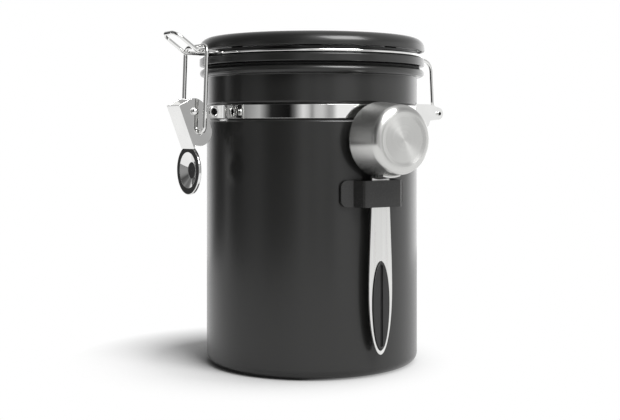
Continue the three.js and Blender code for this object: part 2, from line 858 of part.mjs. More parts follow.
// Outline of the handle: a tapered neck that ends in a long half oval.
function handleOutline(top) {
  const rise = handleWidestRise;
  const pull = (top - rise) / 3;
  const shape = new THREE.Shape();
  shape.moveTo(handleNeck, top);
  shape.bezierCurveTo(handleNeck, top - pull, handleWidest, rise + pull, handleWidest, rise);
  shape.absellipse(0, rise, handleWidest, rise - handleBase, 0, -Math.PI, true);
  shape.bezierCurveTo(-handleWidest, rise + pull, -handleNeck, top - pull, -handleNeck, top);
  return shape.getPoints(bendSteps * 2).slice(0, -1);
}

// Long oval of the window in the handle, or of the insert when it is drawn in by a margin.
function insertOutline(margin) {
  const half = handleWidest - insertRim - margin;
  const middle = handleBase + insertMiddle;
  const below = insertMiddle - insertFoot - margin;
  const above = insertFoot + insertHeight - insertMiddle - margin;
  return arc(0, 0, 1, 180, 540, bendSteps * 4).slice(1)
    .map(({ x, y }) => point(x * half, middle + y * (y < 0 ? below : above)));
}

// Flat handle with a saddle that hugs the underside of the bowl.
function scoopHandle() {
  const top = scoopCentre - scoopRim + seatGap;
  const taper = (scoopMouth - scoopBottom) / (scoopDepth - scoopCorner - scoopRimHeight);
  const root = scoopRim + seatGap;
  const start = scoopMouth + seatGap;
  const step = scoopPlane + scoopRimHeight;
  const far = scoopPlane + handleSaddleLength;
  const shrink = (far - step) * taper;
  const saddle = turned([
    point(root, scoopPlane),
    point(root + handleSaddleSheet, scoopPlane),
    point(root + handleSaddleSheet, step),
    point(start - shrink + handleSaddleSheet, far),
    point(start - shrink, far),
    point(start, step + seatGap),
    point(root, step),
  ], bodyFacets).rotateY(Math.PI / 2).translate(0, 0, scoopCentre);
  const strip = block(scoopPlane - overrun, far + overrun, -handleNeck, handleNeck,
    scoopCentre - scoopRim - handleSaddleSheet * 2, scoopCentre - scoopRim / 2);
  const front = scoopPlane + handleThickness;
  const plate = outward(handleOutline(top), scoopPlane, front);
  const window = outward(insertOutline(0), scoopPlane - overrun, front + overrun);
  const under = cylinder(root + handleSaddleSheet / 2, scoopPlane - overrun, far, 0, 0, bodyFacets)
    .rotateY(Math.PI / 2).translate(0, 0, scoopCentre);
  const blade = carve(plate, { cut: [under, window] });
  return carve(blade, { join: [carve(saddle, { keep: [strip] })] });
}

// Moulded grip in the handle's window, with a shallow slit along it.
function handleInsert() {
  const front = scoopPlane + insertThickness;
  const body = outward(insertOutline(seatGap), scoopPlane, front);
  const low = handleBase + insertFoot + insertSlitMargin;
  const high = handleBase + insertFoot + insertHeight - insertSlitMargin;
  const slit = block(front - insertSlitDepth, front + overrun, -insertSlit, insertSlit, low, high);
  return carve(body, { cut: [slit] });
}

// Strap clip: two pads on the body and a flat bulge that makes the handle's slot.
function scoopClip() {
  const pads = bodyRadius + seatGap * 2 + tapeThickness;
  const frontInner = scoopPlane + insertThickness + slideGap / 2;
  const half = clipFrontHalfSpan;
  const strip = (offset, radius) => {
    const front = frontInner + offset;
    const side = half - clipSheet + offset;
    const cut = clipShoulder / 2 + offset / 2;
    const end = THREE.MathUtils.radToDeg(Math.asin((clipHalfSpan + overrun) / radius));
    const foot = THREE.MathUtils.radToDeg(Math.asin((side + clipShoulder) / radius));
    return [
      ...arc(0, 0, radius, -end, -foot),
      point(front - cut, -side),
      point(front, -side + cut),
      point(front, side - cut),
      point(front - cut, side),
      ...arc(0, 0, radius, foot, end),
    ];
  };
  const outline = [...strip(clipSheet, pads + clipSheet), ...strip(0, pads).reverse()];
  return carve(raised(outline, clipBase, clipBase + clipHeight), { keep: [clipFace(0)] });
}

// Face of the clip seen from outside, with round corners, as a block through it.
function clipFace(inset) {
  const half = clipHalfSpan - inset;
  const low = clipBase + inset;
  const high = clipBase + clipHeight - inset;
  const outline = [
    ...arc(half - clipCorner, low + clipCorner, clipCorner, -90, 0),
    ...arc(half - clipCorner, high - clipCorner, clipCorner, 0, 90),
    ...arc(-half + clipCorner, high - clipCorner, clipCorner, 90, 180),
    ...arc(-half + clipCorner, low + clipCorner, clipCorner, 180, 270),
  ];
  return outward(outline, bodyRadius / 2, bodyRadius + scoopPlane);
}

// Strip of foam tape between one of the clip's pads and the body.
function clipTape(side) {
  const inner = bodyRadius + seatGap;
  const outer = inner + tapeThickness;
  const start = clipFrontHalfSpan + clipShoulder + tapeInset;
  const degrees = (span) => THREE.MathUtils.radToDeg(Math.asin(span / outer));
  const from = side * degrees(start);
  const to = side * degrees(clipHalfSpan + overrun);
  const outline = [...arc(0, 0, outer, from, to), ...arc(0, 0, inner, to, from)];
  return carve(raised(outline, clipBase, clipBase + clipHeight), { keep: [clipFace(tapeInset)] });
}

// Assembly
const canister = new THREE.Group();
const claspSide = new THREE.Group();
claspSide.rotation.z = Math.PI;
const scoopSide = new THREE.Group();
scoopSide.rotation.z = -Math.PI / 2;
canister.add(claspSide, scoopSide);

piece("canister_shell", canisterShell(), charcoal(), canister);
piece("neck_band", neckBand(), chrome(), claspSide);
piece("band_eyelet", bandEyelet(), chrome(), claspSide);
piece("clasp_pin", claspPin(), chrome(), claspSide);
piece("clasp_lever", claspLever(), chrome(), claspSide);
piece("clasp_bail", claspBail(), chrome(), claspSide);
piece("hinge_bracket", hingeBracket(), chrome(), canister);
piece("hinge_rivet_near", hingeRivet(-1), chrome(), canister);
piece("hinge_rivet_far", hingeRivet(1), chrome(), canister);
piece("lid_wire", lidWire(), chrome(), canister);
piece("lid_base", lidBase(), charcoal(), canister);
piece("lid_cover", lidCover(), charcoal(), canister);
piece("lid_gasket", lidGasket(), blackRubber(), canister);
atScrews(lidScrew).forEach((screw, i) => piece(`lid_screw_${i + 1}`, screw, brushedSteel(), canister));
piece("day_dial", dial(dayDialInner, dayDialOuter), whitePlastic(), canister);
piece("month_dial", dial(monthDialInner, monthDialOuter), whitePlastic(), canister);
piece("vent_cap", ventCap(), blackPlastic(), canister);
piece("valve_housing", valveHousing(), blackPlastic(), canister);
piece("valve_flap", valveFlap(), blackRubber(), canister);
piece("valve_filter", valveFilter(), whitePlastic(), canister);
piece("scoop_bowl", scoopBowl(), brushedSteel(), scoopSide);
piece("scoop_handle", scoopHandle(), brushedSteel(), scoopSide);
piece("handle_insert", handleInsert(), blackPlastic(), scoopSide);
piece("scoop_clip", scoopClip(), charcoalPlastic(), scoopSide);
piece("clip_tape_left", clipTape(-1), blackPlastic(), scoopSide);
piece("clip_tape_right", clipTape(1), blackPlastic(), scoopSide);

export default canister;
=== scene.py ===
"""Coffee canister with a clamp lid: its looks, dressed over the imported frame. Metres, +Z up."""
import logging
import math
from collections.abc import Callable, Iterable, Sequence
from dataclasses import dataclass, field
from enum import Enum
from typing import ClassVar

import bpy
from mathutils import Matrix, Vector


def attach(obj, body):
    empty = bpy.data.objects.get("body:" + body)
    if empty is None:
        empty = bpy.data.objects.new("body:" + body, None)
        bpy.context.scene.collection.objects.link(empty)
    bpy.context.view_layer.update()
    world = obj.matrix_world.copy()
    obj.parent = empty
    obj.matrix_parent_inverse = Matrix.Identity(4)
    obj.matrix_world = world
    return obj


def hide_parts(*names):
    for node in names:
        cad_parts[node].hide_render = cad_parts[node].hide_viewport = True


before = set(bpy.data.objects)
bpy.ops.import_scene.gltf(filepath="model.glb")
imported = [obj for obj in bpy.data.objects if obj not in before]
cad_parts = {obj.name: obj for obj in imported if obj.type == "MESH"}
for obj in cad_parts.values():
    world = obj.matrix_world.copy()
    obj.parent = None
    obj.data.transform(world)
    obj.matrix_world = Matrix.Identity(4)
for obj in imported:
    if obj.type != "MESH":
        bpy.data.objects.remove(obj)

log = logging.getLogger("canister")

# Metres in a millimetre, and the clearance between touching pieces in millimetres.
MM = 0.001
GAP = 0.3
# Facets round a turn, by the size of the piece, and chords in a bend.
LARGE, FACETS, MEDIUM, SMALL, BORE = 160, 128, 96, 48, 32
BEND_STEPS = 8
# Greatest angle between faces shaded smooth, in degrees: in general, on pressed sheet, wire and the dials.
SMOOTH, SHEET_SMOOTH, WIRE_SMOOTH, DIAL_SMOOTH = 32.0, 35.0, 50.0, 20.0
# Least angle between faces that counts as a sharp edge, in degrees.
SHARP = 40.0
# Distance in metres within which a turn's first and last points are welded.
WELD = 1e-6
# How far tools reach past a piece that they trim, and radius of the flat at a solid turn's middle.
REACH = 2.0
CORE = 0.4

Flat = tuple[float, float]
Spot = tuple[float, float, float]
Piece = bpy.types.Object
Socket = bpy.types.NodeSocket
Material = bpy.types.Material


class Side(Enum):
    """Which way a sub-assembly faces, as a turn about the canister's axis."""

    HINGE = 0.0
    CLASP = math.pi
    SCOOP = -math.pi / 2

    def turn(self) -> Matrix:
        """Gives the rotation that carries an outward +X shape to this side."""
        return Matrix.Rotation(self.value, 4, "Z")


class Join(Enum):
    """What a tool does to a piece."""

    CUT = "DIFFERENCE"
    ADD = "UNION"
    TRIM = "INTERSECT"


class Lie(Enum):
    """How a flat outline is stood up before it is turned to its side."""

    LEVEL = "level"
    PROFILE = "profile"
    FACING = "facing"

    def stand(self) -> Matrix:
        """Gives the rotation from the drawing plane: XY, XZ seen from the side, or YZ seen from outside.

        Returns:
            The rotation.
        """
        if self is Lie.PROFILE:
            return Matrix.Rotation(math.pi / 2, 4, "X")
        if self is Lie.FACING:
            return Matrix(((0, 0, 1, 0), (1, 0, 0, 0), (0, 1, 0, 0), (0, 0, 0, 1)))
        return Matrix.Identity(4)


def arc(cx: float, cy: float, radius: float, start: float, end: float,
        steps: int = BEND_STEPS) -> list[Flat]:
    """Points of an arc.

    Args:
        cx: Centre along the outline's first axis.
        cy: Centre along its second axis.
        radius: Radius, in the unit of the centre.
        start: First angle in degrees.
        end: Last angle in degrees.
        steps: Number of chords.

    Returns:
        The points, both ends included.
    """
    turns = [math.radians(start + (end - start) * i / steps) for i in range(steps + 1)]
    return [(cx + radius * math.cos(t), cy + radius * math.sin(t)) for t in turns]


class Bench:
    """Modelling steps shared by all sub-assemblies, each made with Blender's own operators."""

    @staticmethod
    def clear() -> None:
        """Leaves edit mode and selects nothing."""
        if bpy.context.object and bpy.context.object.mode != "OBJECT":
            bpy.ops.object.mode_set(mode="OBJECT")
        bpy.ops.object.select_all(action="DESELECT")

    @staticmethod
    def pick(piece: Piece) -> None:
        """Makes a piece the only selected and active object.

        Args:
            piece: The piece.
        """
        Bench.clear()
        piece.select_set(True)
        bpy.context.view_layer.objects.active = piece

    @staticmethod
    def place(piece: Piece, matrix: Matrix) -> Piece:
        """Moves a piece and puts the move into its mesh.

        Args:
            piece: The piece, at the origin.
            matrix: Where it goes.

        Returns:
            The same piece, its object still at the origin.
        """
        Bench.pick(piece)
        piece.matrix_world = matrix
        bpy.ops.object.transform_apply(location=True, rotation=True, scale=True)
        return piece

    @staticmethod
    def smooth(piece: Piece, degrees: float = SMOOTH) -> Piece:
        """Shades a piece smooth up to an angle between faces.

        Args:
            piece: The piece.
            degrees: The angle.

        Returns:
            The same piece.
        """
        Bench.pick(piece)
        bpy.ops.object.shade_smooth_by_angle(angle=math.radians(degrees))
        return piece

    @staticmethod
    def even(piece: Piece) -> Piece:
        """Lets the large faces set the shading, so that flat faces look flat beside their rounded edges."""
        return Bench.modify(piece, "WEIGHTED_NORMAL", weight=90, keep_sharp=True)

    @staticmethod
    def modify(piece: Piece, kind: str, **settings: object) -> Piece:
        """Puts a modifier on a piece and applies it.

        Args:
            piece: The piece.
            kind: The modifier's type.
            **settings: Its settings.

        Returns:
            The same piece.
        """
        Bench.pick(piece)
        bpy.ops.object.modifier_add(type=kind)
        modifier = piece.modifiers[-1]
        for key, value in settings.items():
            setattr(modifier, key, value)
        bpy.ops.object.modifier_apply(modifier=modifier.name)
        return piece

    @staticmethod
    def turned(name: str, profile: Sequence[Flat], facets: int = FACETS, ring: bool = False) -> Piece:
        """Spins a profile about Z.

        Args:
            name: Name of the piece.
            profile: Radius and height of each point, every radius above zero.
            facets: Facets round the turn.
            ring: True closes the last point on the first, False caps both ends.

        Returns:
            The closed piece.
        """
        if len(profile) == 2:  # the chain needs a third point, or no edge of it could be opened
            profile = [profile[0], tuple((a + b) / 2 for a, b in zip(*profile)), profile[1]]
        piece = Bench.chain(name, [(radius, 0, height) for radius, height in profile])
        bpy.ops.object.mode_set(mode="EDIT")
        if not ring:
            bpy.ops.mesh.select_mode(type="EDGE")
            bpy.ops.mesh.select_all(action="DESELECT")
            bpy.ops.object.mode_set(mode="OBJECT")
            last = len(profile) - 1
            for edge in piece.data.edges:
                edge.select = set(edge.vertices) == {0, last}
            bpy.ops.object.mode_set(mode="EDIT")
            bpy.ops.mesh.delete(type="EDGE")
        bpy.ops.mesh.select_all(action="SELECT")
        bpy.ops.mesh.spin(steps=facets, angle=2 * math.pi, center=(0, 0, 0), axis=(0, 0, 1))
        bpy.ops.mesh.select_all(action="SELECT")
        bpy.ops.mesh.remove_doubles(threshold=WELD)
        if not ring:
            bpy.ops.mesh.fill_holes(sides=0)
        bpy.ops.mesh.select_all(action="SELECT")
        bpy.ops.mesh.normals_make_consistent(inside=False)
        bpy.ops.object.mode_set(mode="OBJECT")
        return Bench.smooth(piece)

    @staticmethod
    def chain(name: str, spots: Sequence[Spot], faced: bool = False) -> Piece:
        """Makes a closed loop of edges through the given points.

        Args:
            name: Name of the piece.
            spots: The points in order.
            faced: True puts a face across the loop.

        Returns:
            The loop.
        """
        Bench.clear()
        fill = "NGON" if faced else "NOTHING"
        bpy.ops.mesh.primitive_circle_add(vertices=len(spots), radius=1, fill_type=fill)
        piece = bpy.context.object
        piece.name = name
        for vertex, spot in zip(piece.data.vertices, spots):
            vertex.co = spot
        return piece

    @staticmethod
    def plate(name: str, outline: Sequence[Flat], low: float, high: float, lie: Lie = Lie.LEVEL) -> Piece:
        """Cuts a plate to an outline and gives it its thickness.

        Args:
            name: Name of the piece.
            outline: Corners in order.
            low: Where the plate starts along its thickness.
            high: Where it ends.
            lie: How it stands.

        Returns:
            The closed plate.
        """
        start, end = (-high, -low) if lie is Lie.PROFILE else (low, high)
        piece = Bench.chain(name, [(x, y, start) for x, y in outline], faced=True)
        bpy.ops.object.mode_set(mode="EDIT")
        bpy.ops.mesh.select_all(action="SELECT")
        bpy.ops.mesh.extrude_region_move(TRANSFORM_OT_translate={"value": (0, 0, end - start)})
        bpy.ops.mesh.select_all(action="SELECT")
        bpy.ops.mesh.normals_make_consistent(inside=False)
        bpy.ops.object.mode_set(mode="OBJECT")
        return Bench.place(piece, lie.stand())

    @staticmethod
    def pin(name: str, radius: float, half: float, x: float, z: float) -> Piece:
        """Makes a plain rod across the outward direction in millimetres, used to bore holes."""
        rod = Bench.turned(name, [(radius * MM, -half * MM), (radius * MM, half * MM)], SMALL)
        return Bench.place(rod, cross_axis(x, z))

    @staticmethod
    def boolean(piece: Piece, tools: Iterable[Piece], how: Join) -> Piece:
        """Cuts, joins or trims a piece with tools, which are used up.

        Args:
            piece: The piece that changes.
            tools: The tools, one after the other.
            how: What they do to it.

        Returns:
            The same piece.
        """
        for tool in tools:
            Bench.modify(piece, "BOOLEAN", operation=how.value, solver="EXACT", object=tool)
            bpy.data.objects.remove(tool)
        return piece

    @staticmethod
    def soften(piece: Piece, width: float, segments: int = 2) -> Piece:
        """Rounds the sharp edges of a piece.

        Args:
            piece: The piece.
            width: Width of the rounding.
            segments: Facets across it.

        Returns:
            The same piece, shaded smooth.
        """
        Bench.modify(piece, "BEVEL", width=width, segments=segments, angle_limit=math.radians(SHARP),
                     harden_normals=True)
        return Bench.smooth(piece)

    @staticmethod
    def wire(name: str, corners: Sequence[tuple[Spot, float]], radius: float) -> Piece:
        """Bends a round wire along its corners.

        Args:
            name: Name of the piece.
            corners: Each corner and the radius of its bend, zero for none.
            radius: Radius of the wire.

        Returns:
            The wire with closed ends.
        """
        route = Bench.bent(corners)
        Bench.clear()
        bpy.ops.curve.primitive_bezier_curve_add()
        piece = bpy.context.object
        piece.name = name
        curve = piece.data
        curve.dimensions = "3D"
        curve.splines.clear()
        spline = curve.splines.new("POLY")
        spline.points.add(len(route) - 1)
        for knot, spot in zip(spline.points, route):
            knot.co = (*spot, 1)
        curve.bevel_depth = radius
        curve.bevel_resolution = 4
        curve.use_fill_caps = True
        bpy.ops.object.convert(target="MESH")
        return Bench.smooth(piece, WIRE_SMOOTH)

    @staticmethod
    def bent(corners: Sequence[tuple[Spot, float]]) -> list[Vector]:
        """Rounds each corner of a route with an arc.

        Args:
            corners: Each corner and the radius of its bend.

        Returns:
            The points of the route.
        """
        spots = [Vector(at) for at, _ in corners]
        route = [spots[0]]
        for before, at, after, bend in zip(spots, spots[1:], spots[2:], [b for _, b in corners[1:]]):
            if bend == 0:
                route.append(at)
                continue
            back, ahead = (before - at).normalized(), (after - at).normalized()
            half = back.angle(ahead) / 2
            run = bend / math.tan(half)
            centre = at + (back + ahead).normalized() * (bend / math.sin(half))
            arm = at + back * run - centre
            axis = arm.cross(at + ahead * run - centre).normalized()
            for step in range(BEND_STEPS + 1):
                turn = Matrix.Rotation((math.pi - 2 * half) * step / BEND_STEPS, 3, axis)
                route.append(centre + turn @ arm)
        route.append(spots[-1])
        return route

    @staticmethod
    def polar_map(piece: Piece, centre: Spot, outward: Vector) -> None:
        """Gives a turned piece a map whose first direction runs round its axis.

        Args:
            piece: The piece.
            centre: A point on its axis.
            outward: Direction of the axis.
        """
        turn = outward.to_track_quat("Z", "Y").inverted()
        layer = piece.data.uv_layers.new(name="spin")
        for polygon in piece.data.polygons:
            middle = turn @ (polygon.center - Vector(centre))
            base = math.atan2(middle.y, middle.x)
            for index in polygon.loop_indices:
                spot = turn @ (piece.data.vertices[piece.data.loops[index].vertex_index].co - Vector(centre))
                angle = math.atan2(spot.y, spot.x)
                angle += 2 * math.pi * round((base - angle) / (2 * math.pi))
                reach = math.hypot(spot.x, spot.y) + abs(spot.z)
                layer.data[index].uv = (angle / (2 * math.pi), reach * 10)


class Nodes:
    """A node tree in the making."""

    def __init__(self, tree: bpy.types.NodeTree) -> None:
        """Takes up a tree."""
        self.tree = tree

    def link(self, source: Socket, target: Socket) -> None:
        """Links an output to an input."""
        self.tree.links.new(source, target)

    def add(self, kind: str, **inputs: object) -> bpy.types.Node:
        """Adds a node.

        Args:
            kind: Its type without the leading ShaderNode.
            **inputs: Values or output sockets for its inputs, by name.

        Returns:
            The node.
        """
        node = self.tree.nodes.new("ShaderNode" + kind)
        for key, value in inputs.items():
            socket = node.inputs[key.replace("_", " ")]
            if isinstance(value, Socket):
                self.link(value, socket)
            else:
                socket.default_value = value
        return node

    def span(self, source: Socket, low: float, high: float, start: float = 0.3, end: float = 0.7) -> Socket:
        """Maps part of a source's range to new values.

        Args:
            source: The socket that is read.
            low: Value at the start.
            high: Value at the end.
            start: Where the source's range starts.
            end: Where it ends.

        Returns:
            The mapped socket.
        """
        node = self.add("MapRange", Value=source)
        for key, value in (("From Min", start), ("From Max", end), ("To Min", low), ("To Max", high)):
            node.inputs[key].default_value = value
        return node.outputs["Result"]

    def mixed(self, factor: Socket, first: bpy.types.Node, second: bpy.types.Node) -> bpy.types.Node:
        """Mixes two shaders by a factor and gives the mixing node.

        Args:
            factor: Share of the second shader.
            first: One shader.
            second: The other.

        Returns:
            The mixing node.
        """
        mix = self.add("MixShader", Fac=factor)
        self.link(first.outputs[0], mix.inputs[1])
        self.link(second.outputs[0], mix.inputs[2])
        return mix


class Recipe(Nodes):
    """A material in the making: one principled shader and the nodes that feed it."""

    def __init__(self, name: str) -> None:
        """Starts an empty material.

        Args:
            name: The material's name.
        """
        self.material = bpy.data.materials.new(name)
        self.material.use_nodes = True
        super().__init__(self.material.node_tree)
        self.shader = self.tree.nodes["Principled BSDF"]

    def set(self, **values: float | Sequence[float]) -> None:
        """Sets the shader's own sockets; a word break in a socket's name is an underscore."""
        for key, value in values.items():
            self.shader.inputs[key.replace("_", " ")].default_value = value

    def noise(self, scale: float, stretch: Spot = (1, 1, 1), detail: float = 3.0) -> Socket:
        """Gives a noise over the object's own place.

        Args:
            scale: Cells per metre.
            stretch: Factor on each axis, low where the grain runs long.
            detail: Finer layers.

        Returns:
            Its factor socket.
        """
        coordinates = self.add("TexCoord").outputs["Object"]
        mapping = self.add("Mapping", Vector=coordinates, Scale=stretch)
        texture = self.add("TexNoise", Vector=mapping.outputs[0], Scale=scale, Detail=detail, Roughness=0.6)
        return texture.outputs["Fac"]

    def tint(self, source: Socket, first: Spot, second: Spot) -> None:
        """Runs the base colour between two colours.

        Args:
            source: The socket that is read.
            first: Colour at its low end.
            second: Colour at its high end.
        """
        ramp = self.add("ValToRGB", Fac=source)
        ramp.color_ramp.elements[0].position = 0.3
        ramp.color_ramp.elements[1].position = 0.7
        ramp.color_ramp.elements[0].color = (*first, 1)
        ramp.color_ramp.elements[1].color = (*second, 1)
        self.feed("Base Color", ramp.outputs["Color"])

    def feed(self, socket: str, source: Socket) -> None:
        """Links a source to one of the shader's sockets."""
        self.link(source, self.shader.inputs[socket])

    def bump(self, *layers: tuple[Socket, float, float]) -> None:
        """Raises the surface by layers of height, strength and depth, one on the other.

        Args:
            *layers: Height socket, strength and depth in metres of each layer.
        """
        normal = None
        for height, strength, depth in layers:
            node = self.add("Bump", Height=height, Strength=strength, Distance=depth)
            if normal is not None:
                self.link(normal, node.inputs["Normal"])
            normal = node.outputs["Normal"]
        self.feed("Normal", normal)


def shaded(color: Spot, factor: float) -> Spot:
    """Gives a colour made darker or lighter by a factor."""
    return tuple(min(1.0, part * factor) for part in color)


@dataclass(frozen=True)
class SatinCoat:
    """Charcoal coat on steel: satin, with a fine even texture and faint cloudiness."""

    name: str = "charcoal_coat"
    color: Spot = (0.0125, 0.0125, 0.0120)
    roughness: float = 0.34

    def make(self) -> Material:
        """Builds the material.

        Returns:
            The material.
        """
        recipe = Recipe(self.name)
        recipe.set(Metallic=0.0, Specular_IOR_Level=0.25, Coat_Weight=0.5, Coat_Roughness=0.2)
        cloud = recipe.noise(18, detail=4)
        grain = recipe.noise(2600, detail=2)
        recipe.tint(cloud, shaded(self.color, 0.93), shaded(self.color, 1.07))
        recipe.feed("Roughness", recipe.span(grain, self.roughness - 0.05, self.roughness + 0.05))
        recipe.bump((grain, 0.12, 0.00004), (recipe.noise(420), 0.05, 0.00008))
        return recipe.material


@dataclass(frozen=True)
class MirrorPlate:
    """Bright plating: mirror-like, with faint smears and a trace of drawing lines."""

    name: str = "bright_plate"
    color: Spot = (0.82, 0.82, 0.81)
    roughness: float = 0.06
    stretch: Spot = (1.0, 1.0, 1.0)

    def make(self) -> Material:
        """Builds the material.

        Returns:
            The material.
        """
        recipe = Recipe(self.name)
        recipe.set(Metallic=1.0)
        smear = recipe.noise(90, self.stretch, 4)
        lines = recipe.noise(1500, self.stretch, 2)
        recipe.tint(smear, shaded(self.color, 0.96), shaded(self.color, 1.03))
        recipe.feed("Roughness", recipe.span(smear, self.roughness * 0.6, self.roughness * 1.8))
        recipe.bump((lines, 0.05, 0.00003))
        return recipe.material


@dataclass(frozen=True)
class BrushedSteel:
    """Brushed stainless steel whose grain runs along one axis."""

    name: str = "brushed_steel"
    color: Spot = (0.82, 0.82, 0.805)
    roughness: float = 0.30
    stretch: Spot = (1.0, 0.02, 1.0)
    anisotropy: float = 0.4

    def make(self) -> Material:
        """Builds the material.

        Returns:
            The material.
        """
        recipe = Recipe(self.name)
        recipe.set(Metallic=1.0, Anisotropic=self.anisotropy)
        grain = recipe.noise(3600, self.stretch, 2)
        streak = recipe.noise(500, self.stretch, 3)
        recipe.tint(streak, shaded(self.color, 0.92), shaded(self.color, 1.06))
        recipe.feed("Roughness", recipe.span(streak, self.roughness - 0.05, self.roughness + 0.06))
        recipe.bump((grain, 0.10, 0.00004))
        return recipe.material


@dataclass(frozen=True)
class SpunSteel:
    """Steel finished on a lathe, with fine rings that spread its highlights into fans."""

    name: str = "spun_steel"
    color: Spot = (0.64, 0.64, 0.626)
    roughness: float = 0.27
    anisotropy: float = 0.85
    across: float = 0.25
    rings: float = 2200.0

    def make(self) -> Material:
        """Builds the material.

        Returns:
            The material.
        """
        recipe = Recipe(self.name)
        recipe.set(Metallic=1.0, Anisotropic=self.anisotropy, Anisotropic_Rotation=self.across,
                   Roughness=self.roughness)
        turn = recipe.add("Tangent")
        turn.direction_type = "UV_MAP"
        turn.uv_map = "spin"
        recipe.feed("Tangent", turn.outputs["Tangent"])
        mapped = recipe.add("UVMap")
        mapped.uv_map = "spin"
        stretched = recipe.add("Mapping", Vector=mapped.outputs["UV"], Scale=(1.5, self.rings / 10, 1))
        rings = recipe.add("TexNoise", Vector=stretched.outputs[0], Scale=1.0, Detail=2.0).outputs["Fac"]
        recipe.tint(rings, shaded(self.color, 0.96), shaded(self.color, 1.03))
        recipe.bump((rings, 0.05, 0.00003))
        return recipe.material


@dataclass(frozen=True)
class MouldedPlastic:
    """Moulded plastic with the fine spark-eroded texture of its tool."""

    name: str
    color: Spot
    roughness: float = 0.45
    texture: float = 0.2

    def make(self) -> Material:
        """Builds the material.

        Returns:
            The material.
        """
        recipe = Recipe(self.name)
        recipe.set(Metallic=0.0, Specular_IOR_Level=0.5)
        grain = recipe.noise(2400, detail=3)
        recipe.tint(recipe.noise(40), shaded(self.color, 0.93), shaded(self.color, 1.07))
        recipe.feed("Roughness", recipe.span(grain, self.roughness - 0.06, self.roughness + 0.06))
        recipe.bump((grain, self.texture, 0.00005))
        return recipe.material


@dataclass(frozen=True)
class SoftRubber:
    """Matt rubber, foam or felt: rough, with a soft bloom and an uneven skin."""

    name: str
    color: Spot
    pores: float = 900.0
    depth: float = 0.0001

    def make(self) -> Material:
        """Builds the material.

        Returns:
            The material.
        """
        recipe = Recipe(self.name)
        recipe.set(Metallic=0.0, Sheen_Weight=0.15, Specular_IOR_Level=0.35)
        pores = recipe.noise(self.pores, detail=4)
        recipe.tint(pores, shaded(self.color, 0.85), shaded(self.color, 1.15))
        recipe.feed("Roughness", recipe.span(pores, 0.72, 0.9))
        recipe.bump((pores, 0.35, self.depth))
        return recipe.material


Finish = SatinCoat | MirrorPlate | BrushedSteel | SpunSteel | MouldedPlastic | SoftRubber


def made(finish: Finish) -> Material:
    """Gives a wardrobe's field, whose finish is made when the wardrobe is opened."""
    return field(default_factory=finish.make)


@dataclass
class Wardrobe:
    """All finishes, made once and shared by the pieces."""

    coat: Material = made(SatinCoat())
    plate: Material = made(MirrorPlate())
    steel: Material = made(BrushedSteel(stretch=(1.0, 1.0, 0.02)))
    spun: Material = made(SpunSteel())
    # Near-black steel, painted shade: the dark inside the eyelet's bore and on the lid wire's cut ends.
    dull: Material = made(MirrorPlate("painted_shade_steel", (0.035, 0.035, 0.035), 0.30))
    clip: Material = made(MouldedPlastic("clip_plastic", (0.017, 0.017, 0.0165), 0.24, 0.10))
    grip: Material = made(MouldedPlastic("grip_plastic", (0.012, 0.012, 0.012), 0.40, 0.25))
    lid_plastic: Material = made(MouldedPlastic("lid_plastic", (0.022, 0.022, 0.022), 0.34, 0.2))
    dial: Material = made(MouldedPlastic("dial_plastic", (0.66, 0.66, 0.63), 0.42, 0.15))
    ink: Material = made(MouldedPlastic("numeral_ink", (0.02, 0.02, 0.02), 0.5, 0.05))
    rubber: Material = made(SoftRubber("gasket_rubber", (0.012, 0.012, 0.012)))
    foam: Material = made(SoftRubber("foam_tape", (0.02, 0.02, 0.02), 2500, 0.0002))
    felt: Material = made(SoftRubber("filter_felt", (0.62, 0.60, 0.53), 1800, 0.0003))


def dress(piece: Piece, finish: Material) -> Piece:
    """Gives a piece one finish all over.

    Args:
        piece: The piece.
        finish: Its material.

    Returns:
        The same piece.
    """
    piece.data.materials.clear()
    piece.data.materials.append(finish)
    return piece


def dress_part(piece: Piece, finish: Material,
               chosen: Callable[[bpy.types.MeshPolygon], bool]) -> None:
    """Gives the chosen faces of a dressed piece a second finish.

    Args:
        piece: The piece.
        finish: The second finish.
        chosen: Tells whether a face takes it.
    """
    piece.data.materials.append(finish)
    for polygon in piece.data.polygons:
        if chosen(polygon):
            polygon.material_index = 1


def hand_over(piece: Piece, finish: Material, body: str, slot: str, *nodes: str) -> None:
    """Dresses a finished piece and gives it its place in the assembly.

    Args:
        piece: The piece.
        finish: Its material.
        body: The body that it moves with.
        slot: The record's material slot; not used.
        *nodes: The nodes that it stands for.
    """
    if not piece.data.materials:
        dress(piece, finish)
    Bench.even(piece)
    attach(piece, body)
    if nodes:
        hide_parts(*nodes)
    log.info("%s: %d faces on %s", piece.name, len(piece.data.polygons), body)


def rounded(corners: Sequence[tuple[float, float, float]], closed: bool = False) -> list[Flat]:
    """Rounds the corners of a flat outline or profile.

    Args:
        corners: First axis, second axis and radius of each corner, in millimetres.
        closed: True when the last corner joins the first.

    Returns:
        The points in metres.
    """
    route = [((x * MM, y * MM, 0.0), bend * MM) for x, y, bend in corners]
    if closed:
        middle = tuple((a + b) / 2 for a, b in zip(route[0][0], route[-1][0]))
        route = [(middle, 0.0), *route, (middle, 0.0)]
    points = [(spot.x, spot.y) for spot in Bench.bent(route)]
    return points[:-1] if closed else points


def swept(cx: float, cy: float, radius: float, start: float, end: float,
          steps: int = BEND_STEPS) -> list[Flat]:
    """Gives an arc whose centre and radius are in millimetres."""
    return arc(cx * MM, cy * MM, radius * MM, start, end, steps)


def block(name: str, low: Spot, high: Spot) -> Piece:
    """Makes a box between two corners in millimetres, used to trim other pieces.

    Args:
        name: Name of the box.
        low: Its lower corner.
        high: Its upper corner.

    Returns:
        The box.
    """
    (left, front, base), (right, back, top) = [[part * MM for part in corner] for corner in (low, high)]
    return Bench.plate(name, [(left, front), (right, front), (right, back), (left, back)], base, top)


def shifted(x: float = 0.0, y: float = 0.0, z: float = 0.0) -> Matrix:
    """Moves a piece by millimetres."""
    return Matrix.Translation((x * MM, y * MM, z * MM))


